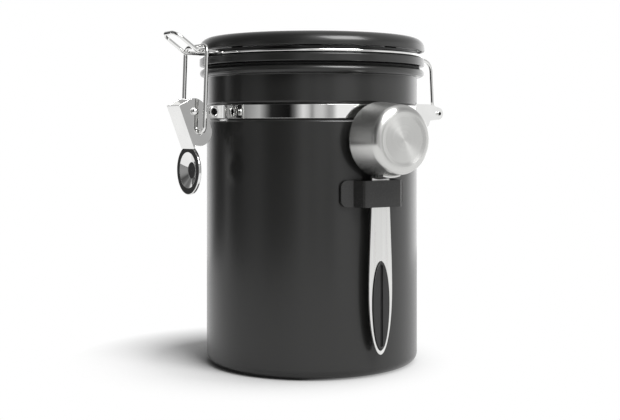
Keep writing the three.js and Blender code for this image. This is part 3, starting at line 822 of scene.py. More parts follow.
def upright(name: str, radius: float, low: float, high: float, spot: Flat = (0.0, 0.0),
            facets: int = BORE) -> Piece:
    """Makes a plain upright rod in millimetres, used as a boss or to bore a hole.

    Args:
        name: Name of the rod.
        radius: Its radius.
        low: Its lower end.
        high: Its upper end.
        spot: Place of its axis.
        facets: Facets round it.

    Returns:
        The rod.
    """
    rod = Bench.turned(name, [(radius * MM, low * MM), (radius * MM, high * MM)], facets)
    return Bench.place(rod, shifted(*spot))


def outward_axis(x: float = 0.0, z: float = 0.0) -> Matrix:
    """Lays a piece turned about Z along the outward direction, at a place in millimetres."""
    return shifted(x, 0, z) @ Matrix.Rotation(math.pi / 2, 4, "Y")


def cross_axis(x: float, z: float) -> Matrix:
    """Lays a piece turned about Z across the outward direction, at a place in millimetres."""
    return shifted(x, 0, z) @ Matrix.Rotation(math.pi / 2, 4, "X")


@dataclass
class Assembly:
    """A sub-assembly, dressed from the shared wardrobe."""

    wardrobe: Wardrobe

    def build(self) -> None:
        """Makes the pieces and hands them over."""
        raise NotImplementedError


@dataclass
class CanisterBody(Assembly):
    """Deep-drawn body: flat base with a pressed ring, band groove in the neck, rolled rim. Sizes in mm."""

    radius: float = 60.0
    wall: float = 1.2
    floor: float = 1.4
    base_corner: float = 5.0
    base_panel: float = 45.0
    base_rise: float = 0.7
    collar_top: float = 160.3
    rim_height: float = 4.3
    rim_reach: float = 3.9
    groove_depth: float = 1.1
    groove_low: float = 136.4
    groove_high: float = 144.3
    groove_shoulder: float = 1.3

    def profile(self) -> list[Flat]:
        """Gives the wall's section, up the outside and down the inside.

        Returns:
            The points in metres.
        """
        inner = self.radius - self.wall
        neck = self.radius - self.groove_depth
        low, high = self.groove_low - self.groove_shoulder, self.groove_high + self.groove_shoulder
        rim = self.rim_height / 2
        centre = self.radius + self.rim_reach - rim
        outside = rounded([
            (self.base_panel, self.base_rise, 0), (self.base_panel + 2, self.base_rise, 1.2),
            (self.base_panel + 3.6, 0, 1.2), (self.radius, 0, self.base_corner), (self.radius, low, 1.2),
            (neck, self.groove_low, 0.3), (neck, self.groove_high, 0.3), (self.radius, high, 1.2),
            (self.radius, self.collar_top, 0.6), (centre, self.collar_top, 0)])
        rolled = swept(centre, self.collar_top + rim, rim, -90, 90, 16)
        inside = rounded([
            (centre, self.collar_top + self.rim_height, 0), (inner, self.collar_top + self.rim_height, 1.0),
            (inner, high + 0.3, 1.2), (inner - self.groove_depth, self.groove_high, 0.3),
            (inner - self.groove_depth, self.groove_low, 0.3), (inner, low - 0.3, 1.2),
            (inner, self.floor, self.base_corner - self.wall), (self.base_panel, self.floor, 0)])
        return outside + rolled[1:-1] + inside

    def build(self) -> None:
        """Makes the body."""
        shell = Bench.turned("body_shell", self.profile(), LARGE)
        hand_over(shell, self.wardrobe.coat, "canister", "body_coat", "canister_shell")


@dataclass
class NeckBand(Assembly):
    """Bright band in the neck groove; its two ends turn outwards as ears for the clasp. Sizes in mm."""

    radius: float = 60.0
    thickness: float = 0.8
    base: float = 136.7
    height: float = 7.3
    ear_half: float = 5.9
    ear_thickness: float = 0.9
    bend: float = 2.2
    edge: float = 0.16
    pivot: float = 79.0
    pin_bore: float = 1.7
    eyelet_place: float = 66.6
    eyelet_bore: float = 2.5
    eyelet_inside: float = 1.8
    eyelet_flange: float = 0.6
    eyelet_stand: float = 0.7

    def build(self) -> None:
        """Makes the band and the eyelet that ties its ears."""
        middle = self.base + self.height / 2
        reach = self.pivot + self.height / 2
        inner, ear_inner = self.radius - self.thickness, self.ear_half - self.ear_thickness
        out = math.degrees(math.asin((self.ear_half + self.bend) / self.radius)) + 1
        into = math.degrees(math.asin(ear_inner / inner))
        bend_x = math.sqrt((self.radius + self.bend) ** 2 - (self.ear_half + self.bend) ** 2)
        corner = self.ear_half + self.bend
        outline = [
            *swept(bend_x, corner, self.bend, 180 + out, 270), (reach * MM, self.ear_half * MM),
            (reach * MM, ear_inner * MM), *swept(0, 0, inner, into, 360 - into, FACETS),
            (reach * MM, -ear_inner * MM), (reach * MM, -self.ear_half * MM),
            *swept(bend_x, -corner, self.bend, 90, 180 - out),
            *swept(0, 0, self.radius, 360 - out, out, FACETS)]
        band = Bench.plate("neck_band_bright", outline, self.base * MM, (self.base + self.height) * MM)
        low, high, end = self.base - REACH, self.base + self.height + REACH, self.height / 2
        lug = [*rounded([(-reach, low, 0), (self.pivot, low, 0), (self.pivot, self.base, 0)]),
               *swept(self.pivot, middle, end, -90, 90, 2 * BEND_STEPS),
               *rounded([(self.pivot, high, 0), (-reach, high, 0)])]
        side = (self.radius + REACH) * MM
        Bench.boolean(band, [Bench.plate("lug", lug, -side, side, Lie.PROFILE)], Join.TRIM)
        bores = [Bench.pin("bore", radius, self.ear_half + REACH, place, middle)
                 for radius, place in ((self.pin_bore, self.pivot), (self.eyelet_bore, self.eyelet_place))]
        Bench.boolean(band, bores, Join.CUT)
        Bench.soften(band, self.edge * MM)
        Bench.place(band, Side.CLASP.turn())
        hand_over(band, self.wardrobe.plate, "canister", "chrome", "neck_band")
        self.eyelet(middle)

    def eyelet(self, middle: float) -> None:
        """Makes the hollow rivet with rolled flanges.

        Args:
            middle: Height of the band's middle.
        """
        neck, half = self.ear_half + GAP, self.ear_half + self.eyelet_stand
        shank, inside = self.eyelet_bore - GAP, self.eyelet_inside
        edge = shank + self.eyelet_flange
        side = [(shank, 0, 0), (shank, neck, 0), (edge, neck, 0.12), (edge, half, 0.25), (inside, half, 0.25)]
        lower = [(r, -z, bend) for r, z, bend in reversed(side[1:])]
        profile = rounded([(inside, 0, 0), *lower, *side[1:], (inside, 0.01, 0)])
        rivet = Bench.turned("band_eyelet_rolled", profile, SMALL, ring=True)
        dress(rivet, self.wardrobe.plate)
        # The faces inside the bore take the near-black steel: painted shade for the dark of the hole.
        dress_part(rivet, self.wardrobe.dull,
                   lambda face: math.hypot(*face.center[:2]) < self.eyelet_inside * MM)
        Bench.place(rivet, Side.CLASP.turn() @ cross_axis(self.eyelet_place, middle))
        hand_over(rivet, self.wardrobe.plate, "canister", "chrome", "band_eyelet")


@dataclass
class Clasp(Assembly):
    """Pivot pin, pressed lever with a dished thumb plate, and the wire bail. Sizes in mm."""

    pivot: float = 79.0
    middle: float = 140.35
    pin_radius: float = 1.4
    pin_head: float = 1.9
    pin_reach: float = 2.3
    width: float = 15.0
    sheet: float = 1.2
    lobe: float = 7.0
    heel_lobe: float = 7.4
    lobe_angles: Spot = (75, 165, 290)
    top_reach: float = 9.0
    top_rise: float = 3.05
    chord_drop: float = 20.0
    chord_reach: float = 0.2
    hook_inset: float = 3.2
    hook_drop: float = 10.95
    thumb_radius: float = 13.2
    thumb_drop: float = 31.4
    thumb_lip: float = 1.5
    dish_radius: float = 9.7
    dish_floor: float = 4.4
    dish_depth: float = 2.4
    wire: float = 1.1
    bail_half: float = 12.6
    bail_lean: float = 1.7
    bail_top: float = 175.3
    bail_corner: float = 4.0
    bail_tuck: float = 0.8
    bend: float = 3.0
    edge: float = 0.35

    def build(self) -> None:
        """Makes the clasp's three pieces."""
        for piece, body, node in (
                (self.pin(), "canister", "clasp_pin"), (self.lever(), "lever", "clasp_lever"),
                (self.bail(), "bail", "clasp_bail")):
            Bench.place(piece, Side.CLASP.turn())
            hand_over(piece, self.wardrobe.plate, body, "chrome", node)

    def pin(self) -> Piece:
        """Makes the pivot pin with domed heads.

        Returns:
            The pin.
        """
        neck, half = self.width / 2 + GAP, self.width / 2 + self.pin_reach
        head = [(0.3, half, 0), (1.0, half, 1.6), (self.pin_head, half - 0.9, 0.5),
                (self.pin_head, neck, 0.15), (self.pin_radius, neck, 0), (self.pin_radius, neck - 1, 0)]
        lower = [(r, -z, bend) for r, z, bend in head]
        pin = Bench.turned("clasp_pivot_pin", rounded([*lower, *reversed(head)]), SMALL)
        return Bench.place(pin, cross_axis(self.pivot, self.middle))

    def lever(self) -> Piece:
        """Makes the pressed channel and joins the thumb plate to it.

        Returns:
            The lever.
        """
        hook = (self.pivot - self.hook_inset, self.middle - self.hook_drop)
        top = Vector((self.pivot + self.top_reach, self.middle + self.top_rise))
        end = Vector((self.pivot + self.chord_reach, self.middle - self.chord_drop))
        along = (end - top).normalized()
        inward = Vector((along.y, -along.x)) * self.sheet
        half = self.width / 2
        start, turn, finish = self.lobe_angles
        outline = [tuple(top * MM), *swept(self.pivot, self.middle, self.lobe, start, turn, 2 * BEND_STEPS),
                   *swept(*hook, self.heel_lobe, turn, finish, 3 * BEND_STEPS), tuple(end * MM)]
        upper, lower = top + inward - along * self.lobe, end + inward + along * REACH
        back = hook[0] - self.heel_lobe - REACH
        hollow = rounded([(*upper, 0), (back, top.y + self.lobe, 0), (back, end.y - REACH, 0), (*lower, 0)])
        lever = Bench.plate("clasp_lever_pressed", outline, -half * MM, half * MM, Lie.PROFILE)
        inside = (half - self.sheet) * MM
        Bench.boolean(lever, [
            Bench.plate("hollow", hollow, -inside, inside, Lie.PROFILE),
            Bench.pin("bore", self.pin_radius + GAP, half + REACH, self.pivot, self.middle),
            Bench.pin("eye", self.wire + GAP, half + REACH, *hook)], Join.CUT)
        Bench.soften(lever, self.edge * MM, 3)
        Bench.boolean(lever, [self.thumb(end)], Join.ADD)
        return Bench.smooth(lever, SHEET_SMOOTH)

    def thumb(self, end: Vector) -> Piece:
        """Makes the dished thumb plate.

        Args:
            end: Lower end of the channel's face, in the side view.

        Returns:
            The plate, cut straight where it meets the channel.
        """
        slope = self.dish_depth / (self.dish_radius - self.dish_floor)
        radius, sheet, depth = self.thumb_radius, self.sheet, self.dish_depth
        profile = rounded([
            (0.5, -depth, 0), (self.dish_floor, -depth, 0.9), (self.dish_radius, 0, 0.5), (radius, 0, 0.45),
            (radius, -self.thumb_lip, 0.3), (radius - sheet, -self.thumb_lip, 0.3),
            (radius - sheet, -sheet, 0.1), (self.dish_radius + sheet * slope, -sheet, 0.5),
            (self.dish_floor + sheet * slope, -depth - sheet, 0.5),
            (0.5, -depth - sheet, 0)])
        plate = Bench.turned("thumb_plate", profile, MEDIUM)
        centre = self.middle - self.thumb_drop
        Bench.place(plate, outward_axis(end.x, centre))
        span = radius + REACH
        low, high = (end.x - span, -span, centre - span), (end.x + span, span, end.y + sheet / 2)
        return Bench.boolean(plate, [block("below", low, high)], Join.TRIM)

    def bail(self) -> Piece:
        """Bends the bail.

        Returns:
            The wire.
        """
        x, z = self.pivot - self.hook_inset, self.middle - self.hook_drop
        bar, tuck = x - self.bail_lean, self.width / 2 - self.sheet - self.bail_tuck
        corners = [((x, tuck, z), 0.0), ((x, self.bail_half, z), self.bend),
                   ((bar, self.bail_half, self.bail_top), self.bail_corner)]
        corners += [((px, -py, pz), bend) for (px, py, pz), bend in reversed(corners)]
        return metal_wire("clasp_bail_wire", corners, self.wire)


def metal_wire(name: str, corners: Sequence[tuple[Spot, float]], radius: float) -> Piece:
    """Bends a wire whose corners, bends and radius are given in millimetres."""
    scaled = [(tuple(part * MM for part in at), bend * MM) for at, bend in corners]
    return Bench.wire(name, scaled, radius * MM)


@dataclass
class HingeSide(Assembly):
    """Saddle riveted to the neck, with two lugs for the lid wire's pins. Sizes in mm."""

    radius: float = 60.0
    sheet: float = 1.2
    base: float = 122.0
    top: float = 145.9
    pin_place: float = 81.0
    middle: float = 140.35
    lug_radius: float = 3.65
    lug_inner: float = 13.85
    lug_angles: Flat = (-100, 70)
    root: float = 59.2
    top_reach: float = 74.0
    knee: Flat = (74.8, 136.15)
    heel: Flat = (73.6, 133.15)
    pin_bore: float = 1.4
    rivet_place: float = 7.0
    rivet_rise: float = 129.0
    rivet_bore: float = 1.5
    rivet_head: float = 2.4
    edge: float = 0.22

    def build(self) -> None:
        """Makes the bracket and its two rivets."""
        inner, outer = self.radius + GAP, self.radius + GAP + self.sheet
        lug_outer = self.lug_inner + self.sheet
        span = math.degrees(math.asin(lug_outer / outer))
        web = [*swept(0, 0, outer, -span, span, 3 * BEND_STEPS),
               *swept(0, 0, inner, span, -span, 3 * BEND_STEPS)]
        bracket = Bench.plate("hinge_bracket_saddle", web, self.base * MM, self.top * MM)
        side = [*rounded([(self.root, self.base, 0), (*self.heel, 2), (*self.knee, 0)]),
                *swept(self.pin_place, self.middle, self.lug_radius, *self.lug_angles, 20),
                *rounded([(self.top_reach, self.top, 0), (self.root, self.top, 0)])]
        lugs = [Bench.plate("lug", side, low * MM, high * MM, Lie.PROFILE)
                for low, high in ((self.lug_inner, lug_outer), (-lug_outer, -self.lug_inner))]
        Bench.boolean(bracket, lugs, Join.ADD)
        bores = [Bench.pin("bore", self.pin_bore, lug_outer + REACH, self.pin_place, self.middle)]
        seats = {word: shifted(0, way * self.rivet_place, self.rivet_rise) @ outward_axis()
                 for word, way in (("near", -1), ("far", 1))}
        for place in seats.values():
            rod = upright("bore", self.rivet_bore, self.radius - REACH, outer + REACH)
            bores.append(Bench.place(rod, place))
        Bench.boolean(bracket, bores, Join.CUT)
        Bench.soften(bracket, self.edge * MM)
        hand_over(bracket, self.wardrobe.plate, "canister", "chrome", "hinge_bracket")
        seat, shank, head = outer + GAP, self.rivet_bore - GAP, self.rivet_head
        profile = rounded([(shank, inner, 0), (shank, seat, 0), (head, seat, 0.15), (head, seat + 0.45, 0.4),
                           (1.5, seat + 1.0, 1.4), (0.3, seat + 1.0, 0)])
        for word, place in seats.items():
            rivet = Bench.place(Bench.turned(f"saddle_rivet_{word}", profile, SMALL), place)
            hand_over(rivet, self.wardrobe.plate, "canister", "chrome", f"hinge_rivet_{word}")


@dataclass
class Lid(Assembly):
    """Plug and flange, domed cover, gasket, screws and the one wire round them all. Sizes in mm."""

    gasket_base: float = 164.9
    gasket_thickness: float = 1.2
    gasket_inner: float = 58.6
    gasket_outer: float = 61.5
    flange_radius: float = 64.1
    flange_base: float = 166.4
    groove_base: float = 170.8
    groove_radius: float = 60.3
    cover_base: float = 174.9
    cover_top: float = 182.5
    cover_radius: float = 64.3
    shoulder: float = 7.0
    skirt: float = 1.6
    wall: float = 1.5
    recess: float = 41.3
    dial_floor: float = 180.1
    stem_bore: float = 6.3
    plug_top: float = 57.4
    plug_bottom: float = 52.3
    plug_base: float = 158.5
    plug_wall: float = 2.0
    deck_base: float = 167.6
    deck_top: float = 170.2
    valve_bore: float = 10.0
    boss_place: float = 49.0
    boss: float = 3.2
    boss_base: float = 170.5
    pilot: float = 1.45
    screw_shank: float = 1.3
    screw_head: float = 2.8
    cross: Flat = (1.5, 0.3)
    wire: float = 1.1
    ring_radius: float = 61.8
    ring_steps: int = 66
    pin_place: float = 81.0
    middle: float = 140.35
    lug_gap: float = 0.6
    lug_sheet: float = 1.2
    pin_stub: float = 1.15
    leg_half: float = 12.3
    leg_place: float = 77.4
    leg_knee: Flat = (2.2, 6.0)
    lift_half: float = 8.0
    lift_bend: float = 76.8
    lift_tip: float = 90.4
    lift_rise: float = 9.6
    lift_corner: float = 5.0
    leg_bend: float = 7.0
    bend: float = 3.0

    def build(self) -> None:
        """Makes the lid's pieces."""
        hand_over(self.base(), self.wardrobe.coat, "lid", "body_coat", "lid_base")
        hand_over(self.cover(), self.wardrobe.coat, "lid", "body_coat", "lid_cover")
        hand_over(self.gasket(), self.wardrobe.rubber, "lid", "gasket_rubber", "lid_gasket")
        wire = dress(self.wire_frame(), self.wardrobe.plate)
        # The wire's cut ends, where they stand out of the lugs, take the near-black steel: painted shade.
        near, cut = (self.pin_place - self.wire) * MM, (self.pin_end() - 0.01) * MM
        dress_part(wire, self.wardrobe.dull, lambda face: face.center.x > near and abs(face.center.y) > cut)
        hand_over(wire, self.wardrobe.plate, "lid", "chrome", "lid_wire")
        spots = self.screw_spots()
        for number in (3, 1, 2):
            screw = Bench.place(self.screw(f"lid_screw_cross_{number}"), shifted(*spots[number - 1]))
            hand_over(screw, self.wardrobe.steel, "lid", "steel", f"lid_screw_{number}")

    def screw_spots(self) -> list[Flat]:
        """Gives the places of the three screws."""
        turns = [math.pi * (2 * i + 1) / 3 for i in range(3)]
        return [(self.boss_place * math.cos(t), self.boss_place * math.sin(t)) for t in turns]

    def base(self) -> Piece:
        """Makes the tapered plug with its flange, groove and deck.

        Returns:
            The base.
        """
        rim, groove = self.groove_radius - self.plug_wall, self.cover_base - GAP
        profile = rounded([
            (self.valve_bore, self.deck_base, 0), (self.plug_top - self.plug_wall, self.deck_base, 1.2),
            (self.plug_bottom - self.plug_wall, self.plug_base, 0.7), (self.plug_bottom, self.plug_base, 0.7),
            (self.plug_top, self.flange_base, 0.6), (self.flange_radius, self.flange_base, 0.8),
            (self.flange_radius, self.groove_base, 0.8), (self.groove_radius, self.groove_base, 0.8),
            (self.groove_radius, groove, 0), (rim, groove, 0), (rim, self.deck_top, 0.8),
            (self.valve_bore, self.deck_top, 0)])
        base = Bench.turned("lid_base_plug", profile, LARGE, ring=True)
        bores = [upright("bore", self.screw_shank + GAP, self.deck_base - REACH, self.deck_top + REACH, spot)
                 for spot in self.screw_spots()]
        Bench.boolean(base, bores, Join.CUT)
        return Bench.smooth(base)

    def cover(self) -> Piece:
        """Makes the domed cover with its recess and the bosses below.

        Returns:
            The cover.
        """
        roof, centre = self.dial_floor - self.wall, self.cover_radius - self.shoulder
        start, rise = self.cover_base + self.skirt, self.cover_top - self.cover_base - self.skirt
        dome = [((centre + x * self.shoulder) * MM, (start + y * rise) * MM)
                for x, y in arc(0, 0, 1, 0, 90, 20)]
        under = rounded([
            (self.stem_bore, roof, 0), (self.recess + self.wall, roof, 1.0),
            (centre, self.cover_top - 2 * self.wall, 2.0), (self.cover_radius - self.wall, start, 1.5),
            (self.cover_radius - self.wall, self.cover_base, 0.3),
            (self.cover_radius, self.cover_base, 0.5), (self.cover_radius, start - 0.2, 0)])
        recess = rounded([
            (self.recess + 2, self.cover_top, 0), (self.recess, self.cover_top, 0.4),
            (self.recess, self.dial_floor, 0.4), (self.stem_bore, self.dial_floor, 0)])
        cover = Bench.turned("lid_cover_dome", under + dome + recess, LARGE, ring=True)
        bosses = [upright("boss", self.boss, self.boss_base, roof + 1, spot, SMALL)
                  for spot in self.screw_spots()]
        pilots = [upright("pilot", self.pilot, self.boss_base - REACH, roof - GAP, spot)
                  for spot in self.screw_spots()]
        Bench.boolean(cover, bosses, Join.ADD)
        Bench.boolean(cover, pilots, Join.CUT)
        return Bench.smooth(cover)

    def gasket(self) -> Piece:
        """Makes the gasket with soft edges.

        Returns:
            The gasket.
        """
        top = self.gasket_base + self.gasket_thickness
        profile = rounded([
            (self.gasket_inner, self.gasket_base, 0.3), (self.gasket_outer, self.gasket_base, 0.5),
            (self.gasket_outer, top, 0.5), (self.gasket_inner, top, 0.3)], closed=True)
        return Bench.turned("lid_gasket_ring", profile, LARGE, ring=True)

    def screw(self, name: str) -> Piece:
        """Makes one screw with a cross in its head, on the axis.

        Args:
            name: Name of the screw.

        Returns:
            The screw.
        """
        seat, tip = self.deck_base - GAP, self.dial_floor - self.wall - 2
        head, shank = self.screw_head, self.screw_shank
        profile = rounded([
            (0.3, seat - 1.8, 0), (2.2, seat - 1.8, 1.5), (head, seat - 0.5, 0.5), (head, seat, 0.1),
            (shank, seat, 0.2), (shank, tip - 1, 0), (0.5, tip, 0)])
        screw = Bench.turned(name, profile, SMALL)
        cross = [block("slot", (-a, -b, seat - 3), (a, b, seat - 0.9))
                 for a, b in (self.cross, self.cross[::-1])]
        return Bench.smooth(Bench.boolean(screw, cross, Join.CUT))

    def pin_end(self) -> float:
        """Gives the reach of the wire's ends, which stick out of the lugs, in millimetres."""
        return self.leg_half + self.wire + self.lug_gap + self.lug_sheet + self.pin_stub

    def wire_frame(self) -> Piece:
        """Bends the lid wire: two hinge legs, the ring in the groove and the lift loop.

        Returns:
            The wire.
        """
        height = self.groove_base + GAP + self.wire
        entry = math.sqrt(self.ring_radius ** 2 - self.leg_half ** 2)
        leave = math.sqrt(self.ring_radius ** 2 - self.lift_half ** 2)
        first, last = math.atan2(self.leg_half, entry), math.pi - math.atan2(self.lift_half, leave)
        back, rise = self.leg_knee
        half: list[tuple[Spot, float]] = [
            ((self.pin_place, self.pin_end(), self.middle), 0),
            ((self.pin_place, self.leg_half, self.middle), self.wire),
            ((self.pin_place - back, self.leg_half, self.middle + rise), self.bend),
            ((self.leg_place, self.leg_half, height), self.leg_bend),
            ((entry, self.leg_half, height), self.bend)]
        for step in range(2, self.ring_steps - 1):
            turn = first + (last - first) * step / self.ring_steps
            half.append(((self.ring_radius * math.cos(turn), self.ring_radius * math.sin(turn), height), 0))
        half += [((-leave, self.lift_half, height), self.bend),
                 ((-self.lift_bend, self.lift_half, height), self.bend),
                 ((-self.lift_tip, self.lift_half, height + self.lift_rise), self.lift_corner)]
        half += [((x, -y, z), bend) for (x, y, z), bend in reversed(half)]
        return metal_wire("lid_wire_frame", half, self.wire)


@dataclass
class LidTop(Assembly):
    """Calendar rings, their numerals and mark, and the vent cap. Sizes in mm."""

    top: float = 182.5
    dial_base: float = 180.4
    dial_top: float = 182.2
    day_inner: float = 29.2
    day_outer: float = 41.0
    month_inner: float = 17.5
    month_outer: float = 28.7
    day_size: float = 4.4
    month_size: float = 5.2
    mark: Spot = (1.6, 45.4, 42.2)
    grip: float = 2.6
    grip_depth: float = 0.9
    grip_margin: float = 1.8
    ink: float = 0.04
    vent_radius: float = 17.0
    groove: tuple[Flat, ...] = ((8.2, 0), (7.6, 0.4), (6.4, 0.4), (5.8, 0))
    slot_inner: float = 2.6
    slot_outer: float = 4.5
    slot_pitch: int = 60
    slot_turn: float = 34.0
    stem: float = 6.0
    stem_wall: float = 0.9
    stem_end: float = 173.5

    def build(self) -> None:
        """Makes both rings, their numerals, the mark and the cap."""
        for word, inner, outer, count, size in (
                ("day", self.day_inner, self.day_outer, 31, self.day_size),
                ("month", self.month_inner, self.month_outer, 12, self.month_size)):
            ring = self.ring(f"{word}_dial_ring", inner, outer)
            hand_over(ring, self.wardrobe.dial, f"{word}_ring", "dial_plastic", f"{word}_dial")
            numerals = self.numerals(f"{word}_numerals", (inner + outer) / 2, count, size)
            hand_over(numerals, self.wardrobe.ink, f"{word}_ring", "dial_plastic")
        half, foot, tip = self.mark
        outline = rounded([(-half, -foot, 0.2), (half, -foot, 0.2), (0, -tip, 0.2)], closed=True)
        mark = Bench.plate("dial_mark", outline, (self.top - 0.5) * MM, (self.top + 0.05) * MM)
        hand_over(Bench.soften(mark, 0.04 * MM, 1), self.wardrobe.dial, "lid", "dial_plastic")
        hand_over(self.vent(), self.wardrobe.lid_plastic, "lid", "lid_plastic", "vent_cap")

    def ring(self, name: str, inner: float, outer: float) -> Piece:
        """Makes a ring with soft edges and a finger dimple.

        Args:
            name: Name of the ring.
            inner: Its inner radius.
            outer: Its outer radius.

        Returns:
            The ring.
        """
        profile = rounded([
            (inner, self.dial_base, 0.1), (outer, self.dial_base, 0.1), (outer, self.dial_top, 0.35),
            (inner, self.dial_top, 0.35)], closed=True)
        ring = Bench.turned(name, profile, FACETS, ring=True)
        Bench.clear()
        bowl = (self.grip ** 2 + self.grip_depth ** 2) / (2 * self.grip_depth)
        place = ((inner + outer) / 2 * MM, 0, (self.dial_top - self.grip_depth + bowl) * MM)
        bpy.ops.mesh.primitive_uv_sphere_add(segments=64, ring_count=48, radius=bowl * MM, location=place)
        dimple = bpy.context.object
        bpy.ops.object.transform_apply(location=True, rotation=True, scale=True)
        return Bench.smooth(Bench.boolean(ring, [dimple], Join.CUT), DIAL_SMOOTH)

    def numerals(self, name: str, radius: float, count: int, size: float) -> Piece:
        """Sets plain numerals round a ring, past its finger dimple.

        Args:
            name: Name of the joined piece.
            radius: Radius of their middle line.
            count: Last number.
            size: Height of the letters' body.

        Returns:
            All numerals as one mesh.
        """
        made = []
        free = math.asin((self.grip + self.grip_margin) / radius)
        for number in range(1, count + 1):
            turn = -free - (2 * math.pi - 2 * free) * (number - 0.5) / count
            Bench.clear()
            bpy.ops.object.text_add()
            text = bpy.context.object
            text.data.body = str(number)
            text.data.align_x, text.data.align_y = "CENTER", "CENTER"
            text.data.size = size * MM
            text.data.extrude = self.ink * MM
            text.data.resolution_u = 4
            bpy.ops.object.convert(target="MESH")
            place = Matrix.Rotation(turn, 4, "Z") @ shifted(radius, 0, self.dial_top)
            Bench.place(text, place @ Matrix.Rotation(-math.pi / 2, 4, "Z"))
            made.append(text)
        Bench.clear()
        for text in made:
            text.select_set(True)
        bpy.context.view_layer.objects.active = made[0]
        bpy.ops.object.join()
        made[0].name = name
        return made[0]

    def vent(self) -> Piece:
        """Makes the vent cap with curved slots and a hollow stem.

        Returns:
            The cap.
        """
        bore = self.stem - self.stem_wall
        profile = rounded([
            (CORE, self.dial_base, 0), (bore, self.dial_base, 0.3), (bore, self.stem_end, 0),
            (self.stem, self.stem_end, 0.2), (self.stem, self.dial_base, 0.3),
            (self.vent_radius, self.dial_base, 0.1), (self.vent_radius, self.top, 0.5),
            *[(radius, self.top - drop, 0.4) for radius, drop in self.groove], (CORE, self.top, 0)])
        cap = Bench.turned("vent_cap_slotted", profile, FACETS)
        slots = []
        for start in range(0, 360, self.slot_pitch):
            end = start + self.slot_turn
            outline = [*swept(0, 0, self.slot_outer, start, end), *swept(0, 0, self.slot_inner, end, start)]
            slots.append(Bench.plate("slot", outline, (self.dial_base - REACH) * MM, (self.top + REACH) * MM))
        return Bench.smooth(Bench.boolean(cap, slots, Join.CUT))


@dataclass
class Valve(Assembly):
    """One-way valve under the lid: ported housing, soft flap and felt filter. Sizes in mm."""

    deck_base: float = 167.6
    deck_top: float = 170.2
    flange: float = 13.0
    flange_thickness: float = 1.5
    tube: float = 9.7
    bore: float = 6.2
    seat: float = 169.55
    seat_thickness: float = 1.2
    filter_thickness: float = 1.2
    tube_rise: float = 3.0
    guide: float = 1.2
    port: float = 0.9
    port_place: float = 3.3
    ports: int = 6
    barb: float = 1.7
    barb_drop: float = 1.1
    stem: float = 0.9
    flap_radius: float = 5.2

    def build(self) -> None:
        """Makes the valve's pieces."""
        hand_over(self.housing(), self.wardrobe.lid_plastic, "lid", "lid_plastic", "valve_housing")
        hand_over(self.flap(), self.wardrobe.rubber, "flap", "gasket_rubber", "valve_flap")
        top = self.deck_base - GAP - self.flange_thickness + self.filter_thickness / 2
        low, edge = top - self.filter_thickness, self.bore - GAP
        profile = rounded([(CORE, low, 0), (edge, low, 0.35), (edge, top, 0.3), (CORE, top, 0)])
        felt = Bench.turned("valve_filter_felt", profile, MEDIUM)
        hand_over(felt, self.wardrobe.felt, "lid", "filter_felt", "valve_filter")

    def housing(self) -> Piece:
        """Makes the housing with its ports and the flap's guide.

        Returns:
            The housing.
        """
        top = self.deck_base - GAP
        end, base = top - self.flange_thickness, self.seat - self.seat_thickness
        tube_top = self.deck_top + self.tube_rise
        profile = rounded([
            (CORE, base, 0), (self.bore, base, 0.3), (self.bore, end, 0.3), (self.flange, end, 0.7),
            (self.flange, top, 0.2), (self.tube, top, 0.2), (self.tube, tube_top, 0.3),
            (self.bore, tube_top, 0.3), (self.bore, self.seat, 0.3), (CORE, self.seat, 0)])
        housing = Bench.turned("valve_housing_ported", profile, MEDIUM)
        low, high = base - 1, self.seat + 1
        spots = arc(0, 0, self.port_place, 0, 360 - 360 / self.ports, self.ports - 1)
        bores = [upright("guide", self.guide, low, high)]
        bores += [upright("port", self.port, low, high, spot) for spot in spots]
        return Bench.smooth(Bench.boolean(housing, bores, Join.CUT))

    def flap(self) -> Piece:
        """Makes the soft flap with its barbed stem.

        Returns:
            The flap.
        """
        base, end = self.seat + GAP, self.seat - self.seat_thickness - self.barb_drop
        profile = rounded([
            (0.2, end - 0.8, 0), (self.barb, end - 0.4, 0.2), (self.barb, end, 0.1), (self.stem, end, 0.1),
            (self.stem, base, 0.2), (self.flap_radius, base, 0.1), (self.flap_radius, base + 0.45, 0.2),
            (CORE, base + 0.9, 0)])
        return Bench.turned("valve_flap_soft", profile, 64)


def bezier(a: Flat, b: Flat, c: Flat, d: Flat, steps: int = 16) -> list[Flat]:
    """Gives the points of a cubic curve from a to d with pulls b and c.

    Args:
        a: First point.
        b: Its pull.
        c: Pull of the last point.
        d: Last point.
        steps: Number of chords.

    Returns:
        The points, both ends included.
    """
    points = []
    for i in range(steps + 1):
        t = i / steps
        weights = ((1 - t) ** 3, 3 * t * (1 - t) ** 2, 3 * t * t * (1 - t), t ** 3)
        points.append(tuple(sum(w * p[axis] for w, p in zip(weights, (a, b, c, d))) for axis in (0, 1)))
    return points


